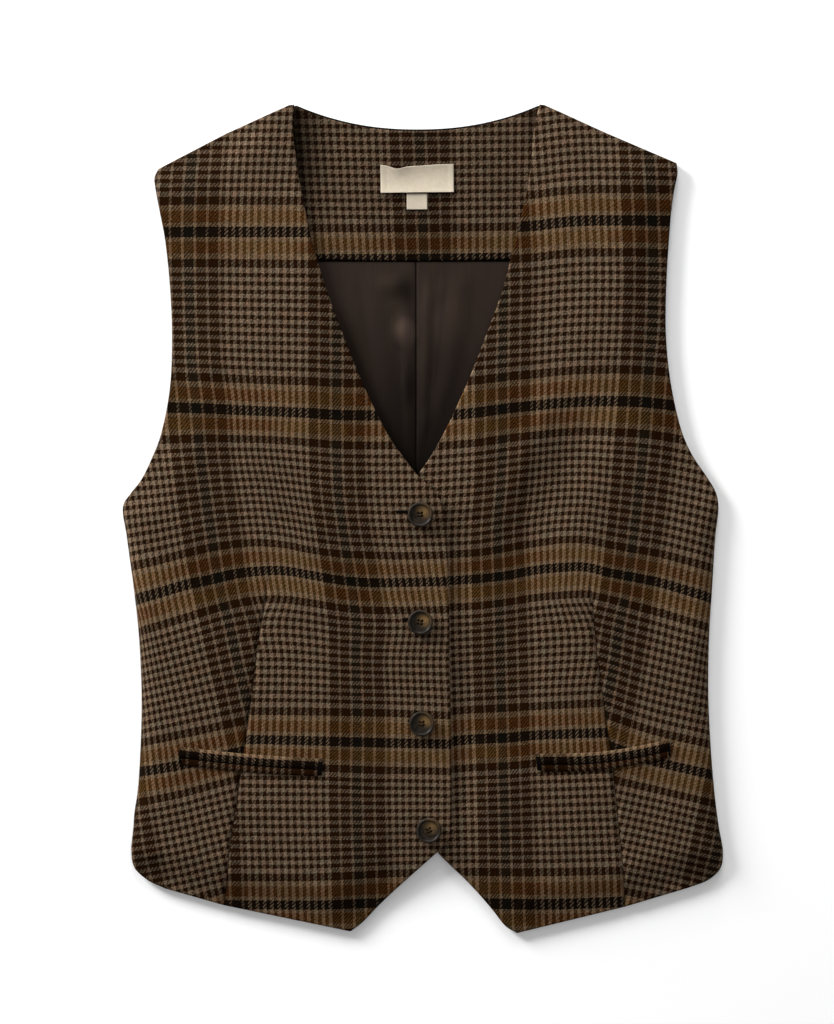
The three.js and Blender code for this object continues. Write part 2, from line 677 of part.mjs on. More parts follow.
add('back', buildBack(), 'cloth');
add('front_right', buildFront(rightFront, false), 'cloth');
add('front_left', buildFront(leftFront, true), 'cloth');
add('back_facing', buildFacing(), 'cloth');
add('lining_left', buildLining(1), 'lining');
add('lining_right', buildLining(-1), 'lining');
add('label_main', buildLabel(MAIN_LABEL), 'label');
add('label_size', buildLabel(SIZE_LABEL), 'label');
for (const pocket of POCKETS) {
  for (const welt of WELTS) {
    add(`welt_${pocket.name}_${welt.name}`, buildWelt(pocket, welt), 'cloth');
  }
}
BUTTONS.forEach((button, i) => {
  const mesh = add(`button_${i + 1}`, buildButton(), 'horn');
  mesh.position.set(button.x, button.y, buttonSeat(button));
  mesh.rotation.z = radians(button.turn);
});

// The origin goes to the middle of the underside
waistcoat.updateMatrixWorld(true);
const box = new THREE.Box3().setFromObject(waistcoat);
const middle = box.getCenter(new THREE.Vector3());
waistcoat.position.set(-middle.x, -middle.y, -box.min.z);

export default waistcoat;
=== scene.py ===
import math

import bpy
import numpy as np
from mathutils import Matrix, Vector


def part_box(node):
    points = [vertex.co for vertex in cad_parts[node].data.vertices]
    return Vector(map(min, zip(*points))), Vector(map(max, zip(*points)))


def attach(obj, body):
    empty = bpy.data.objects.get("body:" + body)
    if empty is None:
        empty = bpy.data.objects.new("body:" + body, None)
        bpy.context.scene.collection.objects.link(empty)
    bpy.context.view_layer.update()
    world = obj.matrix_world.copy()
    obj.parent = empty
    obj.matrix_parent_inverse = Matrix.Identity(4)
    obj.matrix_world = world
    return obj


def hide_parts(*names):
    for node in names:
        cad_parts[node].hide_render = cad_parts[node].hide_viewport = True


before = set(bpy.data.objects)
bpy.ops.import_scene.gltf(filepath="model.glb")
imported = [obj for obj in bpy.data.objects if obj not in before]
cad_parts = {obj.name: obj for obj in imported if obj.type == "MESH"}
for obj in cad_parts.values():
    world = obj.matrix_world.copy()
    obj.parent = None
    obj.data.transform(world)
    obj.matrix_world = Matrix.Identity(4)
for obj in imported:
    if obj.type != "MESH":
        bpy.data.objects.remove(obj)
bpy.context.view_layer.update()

# A woman's suit waistcoat in checked wool, buttoned and laid flat on its back.
# Shapes are in millimetres and count from the middle of the chest, as in the part's source.
# They are moved into the frame and made metres when a mesh is made.

# Layers of cloth and their heights over the surface
BACK_WALL = 2.8
FRONT_WALL = 2.6
FACING_WALL = 1.5
LINING_WALL = 1.0
LABEL_WALL = 0.7
LABEL_EDGE_RADIUS = 0.33
LABEL_GRID = {"columns": 60, "rows": 26, "edge": 0.6}
SEAM_GAP = 0.3
FIRST_LAYER = BACK_WALL + SEAM_GAP
CROWN = 6.6
HEM_REST = 1.3
ROLL_FOOT = 0.3

# How far in from each edge a front has risen to its crown
INNER_FALL = 36
ARMHOLE_FALL = 30
HEM_FALL = 32
SHOULDER_FALL = 26
FACING_OVERLAP = 15
FALL_SHARPNESS = 8

# The side's roll, the turned edges and the pressed dart with its seam
ROLL_WIDTH = 15
ROLL_STEPS = 14
EDGE_TOP_RADIUS = 1.5
EDGE_UNDER_RADIUS = 1.1
DART_DEPTH = 0.9
DART_HALF_WIDTH = 3.5
DART_FADE = 0.5
SEAM_DEPTH = 1.3
SEAM_HALF_WIDTH = 1.2

# Fine steps of the meshes
ROW_STEP = 2.6
EDGE_STEPS = (0, 0.1, 0.38, 0.8, 1.3, 2.0, 3.2)
DART_STEPS = (0.35, 0.8, 1.4, 2.2, 3.5)
INNER_LINES = 54
OUTER_LINES = 34
# Parts of a section that its paths are sampled in, for distances and for lengths
SAMPLES = 4
FINE_SAMPLES = 40

# The picture's scale and the place in it that the tables count from
PIXEL = 0.75
MIDDLE_PX = (423, 519)
PICTURE_CENTRE_PX = (417, 512)
PICTURE_HEIGHT_PX = 1024

NECK = {"left_x": -96, "right_x": 88, "point_y": 312, "middle_y": 293.6, "hollow": 2.2}
# How far each front's neck point is drawn in, and within what reach
TIP = {"blunt": 1.3, "reach": 5}
# How far the back stands out over the facing at the neck, where it shows as a line of painted shade
NECK_REVEAL = 1.6
BACK_HEM = {"side_y": -241, "middle_y": -235}
BACK_INSET = {"laid": 0.9, "rolled": 3.9}
BACK_HEM_SECTION = 4
UNDERARM_SECTION = 12
BACK_GRID = {"columns": 110, "rows": 150, "length": 540}
BACK_EDGE_RADIUS = 1.3
BACK_SEAM = {"depth": 0.4, "half_width": 1.6}
BACK_THREADS = {"warp": 33, "weft": -10, "pitch": 0.74}
DART_APEX_SECTION = 10
NECK_RISE_POWER = 2
FACING = {"top_left": -105, "top_right": 97, "foot_left": -92, "foot_right": 78, "foot_y": 195.5, "sag": 1.8}
SHOULDER_SLOPE = 0.55
FACING_GRID = {"rows": 44, "height": 100, "columns": 84, "width": 190}
FACING_EDGE_RADIUS = 0.7
FACING_RIPPLE = {"height": 0.25, "length": 19, "lowest": -0.1}

MAIN_LABEL = {"width": 54.8, "height": 21, "x": -4.4, "y": 255.2, "turn": 0.6}
# Dips of the main label's upper edge and its lift there, each a height, a place and a width,
# then its bow, turned ends and end stitches
LABEL_DIPS = ((2.6, -15, 6.5), (1.1, -2, 12))
LABEL_LIFT = (0.7, -14, 8)
LABEL_RISE_POWER = 1.5
LABEL_BOW = 1.2
LABEL_TURNED = {"height": 0.22, "width": 3.2, "fade": 0.8}
LABEL_STITCH = {"depth": 0.16, "in": 2.4, "width": 0.35, "pitch": 0.9}
SIZE_LABEL = {"width": 15.4, "height": 12.4, "x": -4.5, "y": 238.2, "turn": 0.3}

BUTTON_RADIUS = 9.4
# The light patch of the horn, its groove and its rim, as shares of the radius
HORN_PATCH = (0.3, 0.26)
HORN_GROOVE = (0.71, 0.8)
HORN_RIM = (0.83, 1.01)
BUTTON_HOLE = {"radius": 0.85, "apart_x": 2.9, "apart_y": 2.4}
# The drill's form: radii as shares of a hole's radius, and heights over the button's foot
DRILL_FORM = ((0, -1), (1, -1), (1, 1.9), (1.25, 2.35), (1.25, 5), (0, 5))
# Thread in the buttons
STRAND = {"apart": 0.24, "foot": 1.5, "arch": 1.15, "power": 0.55, "radius": 0.2, "sunk": 0.2, "top": 2.0}
# Buttonholes: their height over the button's middle, their stitches and their slits
SLIT_RISE = 2.2
SLIT = {"past": 0.2, "right": 2.5, "radius": 0.48, "lift": 0.12}
STITCH = {"step": 0.55, "from": 0.2, "to": 1.1, "arch": 0.34, "sink": 0.12, "radius": 0.24}
# How far each buttonhole runs out from its button's middle
SLIT_LENGTHS = (17.2, 12.6, 9.2, 9.2)
# Each button's middle, and how far it is turned in degrees
BUTTONS = ((-2, 3.3, 4), (-2, -77.3, -7), (-0.9, -153.2, 3), (4.4, -233, 24))


def table(columns, lines):
    """Lines of numbers as one named array for each column."""
    return {name: np.array([line[i] for line in lines], float) for i, name in enumerate(columns)}


# One section of a front for each row, from the hem up to the shoulder
FRONT_COLUMNS = (
    "inner_x", "inner_y", "dart_x", "dart_y", "outer_x", "outer_y", "rest", "flat", "roll", "outer_rest",
)
RIGHT_SECTIONS = table(FRONT_COLUMNS, (
    (-54.5, -309.7, -149.5, -290, -193.5, -277.5, 0.5, 0, 0, 0.5),
    (-46.5, -303.8, -149, -285, -207, -271, 0.7, 0, 0.05, 0.5),
    (-31.5, -288.4, -148, -278, -216.5, -262, 1.4, 0, 0.2, 0.9),
    (-12, -270.2, -146.5, -262, -219, -250, 3, 0, 0.55, 2.2),
    (11.5, -249, -144.5, -242.5, -217.5, -230.5, 6, 12, 0.95, 3.1),
    (18.5, -242.5, -143.5, -235, -217, -221.5, 6, 20, 1, 3.1),
    (21.3, -220, -140.5, -217, -214.5, -205, 6, 30, 1, 3.1),
    (21.3, -185, -136, -184, -212.3, -172, 6, 30, 1, 3.1),
    (20.6, -136, -129.4, -139, -211.5, -133, 6, 30, 1, 3.1),
    (19.9, -91, -124, -94.5, -213.5, -88, 6, 30, 1, 3.1),
    (19.4, -53, -117.8, -58.5, -217, -55, 6, 30, 1, 3.1),
    (17.3, -8.5, -113.5, -19.5, -222.8, -12, 6.2, 28, 1, 3.1),
    (15, 9, -110.5, 3, -225.2, 9.8, 7.3, 20, 0.6, 3.1),
    (7.5, 21.5, -108, 20.5, -219.5, 19, 7.5, 14, 0.1, 3.1),
    (-4.1, 33, -106.5, 31, -211.5, 29.3, 7.5, 5, 0, 3.1),
    (-14.3, 46, -105.5, 45, -203.3, 46, 7.2, 0, 0, 3.1),
    (-24.8, 60.8, -105, 61.5, -197, 62.3, 6.8, 0, 0, 3.1),
    (-43.5, 98, -109.5, 98, -190, 97.5, 6.4, 0, 0, 3.1),
    (-58.5, 135, -120, 135, -188.3, 137.3, 6.2, 0, 0, 3.1),
    (-72.4, 172.5, -130, 172.5, -189.8, 173.3, 6.2, 0, 0, 3.1),
    (-83.6, 210, -138, 208, -193.5, 209.3, 6.2, 0, 0, 3.1),
    (-90.8, 243.8, -143.3, 237, -197.8, 232, 5.6, 0, 0, 3.1),
    (-95.3, 271.5, -146.3, 259.5, -200.3, 245.3, 5.3, 0, 0, 3.1),
    (-97.5, 294, -147.4, 277, -201.5, 256, 4.9, 0, 0, 3.1),
    (-96.6, 312, -148, 289, -198.8, 262.5, 4.9, 0, 0, 3.1),
))
LEFT_SECTIONS = table(FRONT_COLUMNS, (
    (70.5, -311, 151.5, -291.2, 199, -277, 0.5, 0, 0, 0.5),
    (62, -305.7, 151, -286, 214.5, -270.9, 0.6, 0, 0.05, 0.5),
    (51.8, -293, 150.8, -277.5, 223.3, -262.3, 1, 0, 0.2, 0.9),
    (36, -275, 149.6, -260.5, 225.2, -250, 1.8, 0, 0.55, 2.2),
    (11.3, -250.5, 147.8, -241.5, 222.5, -232.5, 3, 18, 0.95, 3.1),
    (-3, -232.5, 146.6, -231, 221, -221.5, 3.1, 34, 1, 3.1),
    (-13.5, -215.5, 144.8, -214, 219, -205, 3.1, 38, 1, 3.1),
    (-13.5, -182.5, 141.4, -182.5, 216.4, -173.3, 3.1, 38, 1, 3.1),
    (-13.5, -137.5, 135.4, -138, 214.5, -133.5, 3.1, 38, 1, 3.1),
    (-13.5, -94.5, 129.8, -97, 215, -89.3, 3.1, 38, 1, 3.1),
    (-13.5, -55.5, 126.8, -59.3, 217.1, -55, 3.1, 38, 1, 3.1),
    (-13.5, -12, 122.3, -19.5, 219.8, -12, 3.2, 36, 1, 3.1),
    (-13.5, 8.5, 120, 3, 221.8, 9.8, 4.1, 37, 0.6, 3.1),
    (-11.3, 21, 118, 20.5, 219.5, 20.5, 4.5, 33, 0.1, 3.1),
    (-3.6, 33.5, 117, 31.5, 213, 31.5, 4.5, 22, 0, 3.1),
    (6.4, 48, 116.3, 47.3, 202, 48, 4.5, 5, 0, 3.1),
    (16.4, 66, 115.5, 65.3, 194.3, 65.3, 5.4, 0, 0, 3.1),
    (33.5, 103, 116, 101.5, 186, 101.5, 5.6, 0, 0, 3.1),
    (47.7, 139, 119.3, 138, 182.3, 137.3, 5.8, 0, 0, 3.1),
    (60.7, 175.5, 123.8, 174, 182.5, 173.3, 5.8, 0, 0, 3.1),
    (69, 209.3, 129.8, 208.5, 184.5, 209.3, 5.8, 0, 0, 3.1),
    (76.5, 239.3, 133.5, 236.3, 186.5, 232.5, 5.6, 0, 0, 3.1),
    (81, 267.8, 136, 260.3, 188.6, 247.5, 5.3, 0, 0, 3.1),
    (83.3, 292.5, 138, 278.5, 191, 259.3, 4.9, 0, 0, 3.1),
    (87.4, 312, 139.5, 288.7, 190.3, 267, 4.9, 0, 0, 3.1),
))

# Soft folds of each front: a ridge where the height is over 0 and a trough where it is under 0
FOLD_COLUMNS = ("from_x", "from_y", "to_x", "to_y", "height", "width")
RIGHT_FOLDS = table(FOLD_COLUMNS, (
    (-190, 44, -122, -42, -0.9, 17),
    (-62, 8, -24, -8, 0.45, 9),
    (-96, -30, -30, -62, -0.5, 13),
    (-70, -96, -28, -84, 0.35, 9),
    (-196, -70, -150, -120, 0.6, 15),
    (-84, 70, -60, 20, -0.5, 16),
    (-170, 215, -150, 120, -0.5, 20),
    (-100, -200, -70, -262, 0.5, 18),
    (-40, -165, -66, -120, -0.45, 12),
    (-176, -171, -212, -166, -1, 3),
))
LEFT_FOLDS = table(FOLD_COLUMNS, (
    (104, 112, 42, -30, 2, 16),
    (134, 104, 74, -46, -2.7, 27),
    (62, -10, 60, -196, -3.2, 37),
    (33, 40, 33, -290, -1.5, 13),
    (168, -60, 196, -150, -0.6, 18),
    (94, 130, 112, 74, -0.5, 18),
    (170, 210, 150, 130, -0.5, 20),
    (60, -196, 96, -262, 0.5, 20),
    (186, -196, 176, -252, 0.4, 16),
))
# Long slow swells over the whole cloth
SWELL = {"height": 0.28, "length_x": 86, "length_y": 118, "phase_x": 0.6, "phase_y": 0.9}
# Folds fade toward their ends, and within this reach of a cut edge
FOLD_END_FADE = 1.6
EDGE_REACH = 26

LINING_SEAM_X = -5.2
# Tones of the satin: painted shade toward the point and at its top under the facing's edge, and a darker line
# along the seam: from, to and the tones there
LINING_PAINTED_SHADE_AND_SEAM = {"point": (40, 160, 0.03, 1.0), "seam": (0.35, 1.1, 0.2, 1.0), "top": (191.6, 192.6, 1.0, 0.2)}
LINING_ROWS = table(("y", "left_x", "right_x"), (
    (20, -17, 5),
    (36, -25, 8),
    (60, -37, 22),
    (98, -56, 41),
    (142, -73, 58),
    (170, -84, 68),
    (193, -91, 78),
))
LINING_GRID = {"rows": 90, "height": 170, "columns": 48, "width": 70}
LINING_EDGE_RADIUS = 0.45
# Half the gap at the middle seam, and how the seam draws the satin in
LINING_SEAM = {"half_gap": 0.08, "tuck": 0.35, "half_width": 2.2, "lowest": -0.5}
FOLD_FADE = {"from_side": 10, "side": 16, "foot": 0.4, "top": 0.12}
LINING_FOLDS = table(("top_x", "foot_x", "height", "width"), (
    (-13, -10, 0.7, 7),
    (-38, -20, 0.9, 15),
    (4, -1, 0.7, 6),
    (30, 8, 1, 14),
    (-56, -24, 0.4, 9),
    (17, 3, 0.3, 5),
))
# Painted shade and painted highlights on the satin: soft places painted darker or lighter, in millimetres
PAINTED_SHADE_COLUMNS = ("x", "y", "radius_x", "radius_y", "change")
LINING_PAINTED_SHADE_AND_LIGHT = table(PAINTED_SHADE_COLUMNS, (
    (-14, 171, 11, 20, -0.75),
    (-13, 140, 11, 15, 2.4),
    (-12, 100, 9, 26, -0.6),
    (12, 153, 26, 32, 0.35),
    (-60, 110, 30, 62, -0.5),
))
# Painted shade on the facing where it goes down under the fronts, in thread numbers
FACING_PAINTED_SHADE = table(PAINTED_SHADE_COLUMNS, (
    (-108, 112, 56, 130, -0.9),
    (170, 138, 34, 75, -0.75),
))
# Swellings beside the lining's middle seam
LINING_LUMPS = table(("x", "y", "height", "radius_x", "radius_y"), (
    (-17, 141, 1.7, 10, 16),
    (-24, 176, 1.2, 14, 13),
    (-12, 100, 0.8, 7, 20),
    (4, 120, 0.8, 9, 26),
    (8, 168, 0.8, 10, 16),
    (3, 74, 0.6, 6, 14),
))

POCKETS = {
    "right": {"inner": (-75.5, -187.6), "outer": (-183, -178.6), "bow": 1.2},
    "left": {"inner": (85, -183.6), "outer": (185.5, -173), "bow": 3.8},
}
WELTS = {
    "upper": {"side": 1, "width": 7.8, "height": 1.6, "short": 0},
    "lower": {"side": -1, "width": 5, "height": 1.3, "short": 3},
}
WELT_END = {"length": 3, "drop": 0.6}
WELT_ROUNDNESS = 0.42
WELT_GRID = {"columns": 60, "end": 1.2, "rows": 14, "edge": 0.5}
WELT_GAP = 0.06
WELT_LOWEST = 0.12
MOUTH_GAP = 0.8
MOUTH = {"half_width": 0.7, "over": 0.25, "under": 0.2}
# Bars of close stitches: how far in from each end, and how many
BAR_ENDS = ((1.6, 7), (1.2, 3))
BAR_POINTS = 9
BAR = {"step": 0.42, "foot": -4.4, "top": 7, "arch": 1.2, "radius": 0.25, "lift": 0.1}
WELT_WARP = 34
WELT_WEFT = {"upper": (-4.5, 13.5), "lower": (26.5, 7)}

# The check. A place on the cloth is a warp thread's number and a weft thread's number.
# Each table gives the pixel where a numbered thread lies, first the level or station that it
# was read at. Warp threads are numbered to the right and weft threads upward.
RIGHT_WARP_UPPER = (
    (110, {-2: 163, 68: 226, 164: 313}),
    (150, {-2: 161, 68: 223.2, 164: 310.4}),
    (185, {-2: 158.5, 12: 170.5, 26: 183.2, 40: 196.2, 54: 208.5, 68: 221, 164: 307.2}),
    (290, {-2: 158.5, 68: 219.5, 164: 306.8, 234: 366}),
    (330, {-2: 159.8, 68: 220.5, 164: 306.8, 234: 366}),
    (370, {-98: 74, -2: 161.5, 68: 222.8, 164: 306.8, 234: 366.2}),
    (400, {-98: 77, -2: 164.5, 68: 226.8, 164: 307, 234: 366, 314: 436}),
    (450, {-98: 82, -2: 169, 68: 230, 116: 268, 140: 286, 164: 307.5, 234: 365.5, 314: 436.8}),
    (490, {-50: 135, -2: 174.5, 68: 235.2, 100: 262.8, 132: 286, 164: 309.2, 234: 367, 314: 437.8}),
    (530, {-50: 140.2, -2: 180.2, 68: 241, 116: 281.8, 140: 298.5, 164: 314.8, 234: 371, 314: 441.8}),
    (575, {-50: 147, -2: 188, 68: 247, 116: 286, 164: 321, 234: 379, 314: 447}),
    (597, {-74: 133, -50: 151, -2: 192.5, 68: 251, 116: 289, 164: 323.8, 234: 382.5, 314: 450}),
)
RIGHT_WARP_CENTRE = (
    RIGHT_WARP_UPPER[-1],
    (620, {68: 240, 164: 326.5, 178: 338, 192: 350, 206: 362, 220: 374, 234: 386, 250: 400.8, 314: 452}),
    (660, {84: 258.2, 164: 327.8, 234: 383.5, 306: 443.8}),
    (700, {68: 243, 164: 328.5, 234: 385.2, 306: 445.5}),
    (800, {68: 239.5, 164: 327.5, 234: 385.8, 306: 448.2}),
    (870, {68: 242.2, 164: 329.8, 234: 387.8}),
    (930, {68: 243, 164: 331, 234: 389}),
)
RIGHT_WARP_SIDE = (
    RIGHT_WARP_UPPER[-1],
    (620, {-74: 141.2, -50: 155.2, -2: 197.5, 26: 222, 54: 246.2}),
    (660, {-82: 143.5, -50: 163.8, -2: 206.5, 26: 231, 40: 243}),
    (700, {-90: 144, -50: 173, -2: 216, 26: 240.8}),
    (800, {-98: 149, -50: 192.5, -2: 237.2, 26: 261}),
    (870, {-130: 131, -26: 230.8, -2: 254, 26: 279}),
    (930, {-130: 146, -26: 243, -2: 266, 26: 291}),
)
LEFT_WARP_UPPER = (
    (110, {68: 524, 164: 614.5}),
    (150, {68: 526, 164: 617.2, 178: 628.8, 192: 641.8}),
    (185, {-2: 468, 68: 528.4, 164: 618.2, 178: 630.8, 192: 644.2, 206: 656.5, 220: 670.2}),
    (290, {40: 508.8, 68: 532, 164: 621.2, 192: 646, 206: 659.5}),
    (330, {-2: 473, 26: 496.8, 68: 531.2, 164: 620, 178: 632.2, 192: 644.8, 206: 658.2}),
    (370, {-50: 430, -2: 473.2, 68: 530.8, 164: 617.8, 206: 654.2}),
    (450, {-50: 430, -2: 473, 68: 530.5, 116: 569, 164: 611.5, 234: 673}),
    (490, {-50: 429, -2: 472.2, 68: 528, 164: 608.5, 234: 668.2, 282: 711}),
    (530, {-50: 427, -2: 469.8, 68: 524.2, 164: 604.5, 234: 663, 282: 705.2}),
    (575, {-50: 427, -2: 470, 68: 526, 164: 600, 234: 656, 282: 698}),
    (597, {-50: 427, -2: 470.2, 68: 526.7, 164: 597, 234: 653, 282: 695}),
)
LEFT_WARP_CENTRE = (
    LEFT_WARP_UPPER[-1],
    (620, {-50: 427, -2: 470.5, 68: 527.5, 140: 590}),
    (700, {-50: 429, -2: 472.5, 68: 529.5, 148: 595.2}),
    (800, {-50: 431, -2: 475.5, 68: 531.5, 156: 609.2}),
    (870, {-50: 433, -2: 477, 68: 534, 156: 614}),
    (930, {-50: 434, -2: 478, 68: 536, 164: 624}),
)
LEFT_WARP_SIDE = (
    LEFT_WARP_UPPER[-1],
    (620, {164: 591, 178: 602.5, 192: 613.5, 206: 625.5, 234: 650, 290: 698.2}),
    (660, {164: 583, 206: 620.5, 234: 643, 290: 692.2, 314: 709.5}),
    (700, {164: 576, 206: 613, 234: 636, 290: 684.2}),
    (800, {234: 615, 242: 622.2, 282: 657, 330: 698}),
    (870, {258: 620.5, 330: 682.8, 344: 694, 358: 705.2, 372: 718}),
    (930, {258: 608, 330: 670, 372: 705}),
)
FACING_WARP = (
    (145, {-98: 296.8, -2: 388, 12: 400.4, 26: 413.2, 40: 425.5, 54: 438, 68: 450.4, 164: 541.6}),
    (240, {-98: 304, -2: 393, 12: 405, 26: 417, 40: 428.8, 54: 440.6, 68: 451.4, 164: 540}),
)
WEFT_THREADS = (470, 340, 170, 30, 0, -30, -140, -170, -200, -310, -340)
RIGHT_WEFT_CENTRE = (
    (185, (96.7, 232.5, 408, 553.5, 585, 600, 711, 738.5, 766, 877, 905)),
    (210, (96.7, 232.5, 409, 547.5, 580, 600, 711, 738.7, 766, 877, 905)),
    (235, (96.7, 232.5, 410.3, 544, 574, 599.5, 711, 739, 766, 877, 905)),
    (260, (96.7, 232.5, 411.5, 542.5, 571, 599.3, 711, 739.4, 766.2, 877, 905)),
    (285, (96.7, 232.5, 412.5, 545, 570.5, 599.3, 711, 740, 766.6, 877, 905)),
    (310, (96.7, 232.5, 413.5, 550, 574.5, 602.5, 711.1, 740.7, 767, 876.7, 905)),
    (340, (96.7, 232.5, 415.5, 554, 580, 607.5, 711.6, 741.5, 768, 875.5, 904.2)),
    (370, (96.7, 232.5, 415.8, 555.3, 582.5, 610, 712.2, 742.3, 769.5, 874.2, 903.4)),
    (400, (96.7, 232.5, 415.3, 556, 582.3, 610.3, 713, 743, 770, 873, 902.8)),
    (450, (96.7, 232.5, 415, 555, 581, 609.5, 715.3, 744, 771, 871.5, 901.8)),
)
RIGHT_WEFT_SIDE = (
    (130, (96.7, 232.5, 405.5, 566.5, 601, 634.5, 745, 772.5, 803.5, 912, 940.5)),
    (160, (96.7, 232.5, 407, 560, 592.5, 625.5, 738.5, 768.3, 798, 906.5, 935)),
    (185, (96.7, 232.5, 408, 553.5, 585, 618, 733.3, 764, 792.5, 901, 929.5)),
    (210, (96.7, 232.5, 409, 547.5, 580, 610, 728, 758.3, 785.7, 894, 922.7)),
    (235, (96.7, 232.5, 410.3, 544, 574, 603.5, 722.5, 752.6, 779, 887.5, 916)),
    (260, (96.7, 232.5, 411.5, 542.5, 571, 599.5, 717, 747, 772, 880.5, 909)),
    (285, (96.7, 232.5, 412.5, 545, 570.5, 597, 711.7, 741.5, 765, 873.5, 902)),
    (310, (96.7, 232.5, 413.5, 550, 574.5, 600, 706.5, 736, 758, 866.5, 895)),
)
LEFT_WEFT_CENTRE = (
    (445, (94, 230, 416, 555, 581, 607.5, 711.5, 742, 770, 872, 904.5)),
    (480, (93, 229, 412.5, 552.5, 578.5, 605.5, 709, 739, 767, 871.5, 904)),
    (510, (91.6, 227.5, 408.5, 547.5, 575, 601.5, 707.4, 737.5, 765.2, 871.5, 904)),
    (535, (90.3, 226.2, 406, 543.5, 570, 597.5, 706, 735, 763, 871.3, 904)),
    (560, (87.1, 223, 403.5, 540, 567.5, 595, 704.6, 734, 762, 871, 904)),
    (585, (85.3, 221.2, 402, 540, 567, 593.7, 703.3, 733.2, 761, 870.5, 903.3)),
    (610, (85.1, 221, 401.5, 545, 573, 595, 702, 732.3, 760, 870, 902.5)),
    (635, (85.1, 221, 401.9, 549.5, 577.5, 597, 700.5, 731.5, 759, 869.5, 901.7)),
    (660, (85.1, 221, 404, 554, 582.5, 600, 699, 730.5, 758, 869, 901)),
)
LEFT_WEFT_SIDE = (
    (535, (90.3, 226.2, 406, 543.5, 570, 586, 687, 718, 761, 870, 898)),
    (560, (87.1, 223, 403.5, 540, 567.5, 590, 697, 727, 766.5, 875.5, 903.5)),
    (585, (85.3, 221.2, 402, 540, 567, 593.7, 706.5, 736.4, 773, 882, 910)),
    (610, (85.1, 221, 401.5, 545, 573, 599, 716, 745.7, 778.8, 888, 916)),
    (635, (85.1, 221, 401.9, 549.5, 577.5, 605.7, 725, 755, 784.5, 893.5, 921.5)),
    (660, (85.1, 221, 404, 554, 582.5, 612.5, 732.5, 762.7, 790, 899, 927)),
    (685, (85.4, 221.3, 407.5, 560.5, 590, 620, 738.5, 768.5, 796, 905, 933)),
    (710, (86.1, 222, 411.5, 567.5, 597.5, 627.5, 744, 774, 802, 911, 939)),
)
FACING_WEFT = (
    (300, (96, 135, 228, 259, 290)),
    (420, (96, 135, 228, 259, 290)),
    (540, (94, 133, 226, 257, 288)),
)
FACING_WEFT_THREADS = (158, 120.7, 30, 0, -30)
THREAD_PITCH = 0.7


def fall(q):
    """1 at the edge, 0 from q = 1 on, with a soft start and end."""
    share = np.clip(q, 0, 1)
    return (1 - share) ** 2 * (1 + 2 * share)


def mix(a, b, share):
    return a + (b - a) * share


def hermite(start, end, start_slope, end_slope, share):
    """A cubic between two values, with a slope at each."""
    square = share * share
    cube = square * share
    return (
        start * (2 * cube - 3 * square + 1) + start_slope * (cube - 2 * square + share)
        + end * (3 * square - 2 * cube) + end_slope * (cube - square)
    )


def curve_points(points, places):
    """Points of a centripetal Catmull-Rom curve at places counted in its own points."""
    points = np.asarray(points, float)
    last = len(points) - 1
    line = np.vstack([2 * points[0] - points[1], points, 2 * points[-1] - points[-2]])
    index = np.clip(np.floor(places).astype(int), 0, last - 1)
    share = (np.asarray(places, float) - index)[:, None]
    p0, p1, p2, p3 = (line[index + step] for step in range(4))
    step0, step1, step2 = (
        np.sqrt(np.linalg.norm(b - a, axis=1))[:, None] for a, b in ((p0, p1), (p1, p2), (p2, p3))
    )
    start = ((p1 - p0) / step0 - (p2 - p0) / (step0 + step1) + (p2 - p1) / step1) * step1
    end = ((p2 - p1) / step1 - (p3 - p1) / (step1 + step2) + (p3 - p2) / step2) * step1
    return hermite(p1, p2, start, end, share)


def nearest(samples, at):
    """How far each point is from a sampled line, and the nearest place along it."""
    places, points = samples
    best = np.full(len(at), np.inf)
    where = np.zeros(len(at))
    for i in range(len(points) - 1):
        run = points[i + 1] - points[i]
        offset = at - points[i]
        share = np.clip(offset @ run / (run @ run), 0, 1)
        distance = np.hypot(offset[:, 0] - share * run[0], offset[:, 1] - share * run[1])
        closer = distance < best
        best[closer] = distance[closer]
        where[closer] = mix(places[i], places[i + 1], share)[closer]
    return best, where


def is_inside(outline, at):
    inside = np.zeros(len(at), bool)
    for start, end in zip(outline, np.roll(outline, -1, axis=0)):
        spans = (start[1] > at[:, 1]) != (end[1] > at[:, 1])
        rise = end[1] - start[1] if end[1] != start[1] else 1
        crossing = start[0] + (at[:, 1] - start[1]) / rise * (end[0] - start[0])
        inside ^= spans & (at[:, 0] < crossing)
    return inside


def fold_height(folds, at):
    """Height of the soft folds at each point. A fold dies out at its ends."""
    height = np.zeros(len(at))
    for i in range(len(folds["height"])):
        start = np.array((folds["from_x"][i], folds["from_y"][i]))
        run = np.array((folds["to_x"][i], folds["to_y"][i])) - start
        length = np.hypot(*run)
        offset = at - start
        along = (offset @ run) / length ** 2
        across = (offset[:, 0] * run[1] - offset[:, 1] * run[0]) / length
        ends = fall(np.abs(along - 0.5) * FOLD_END_FADE)
        height += folds["height"][i] * ends * fall(np.abs(across) / folds["width"][i])
    return height


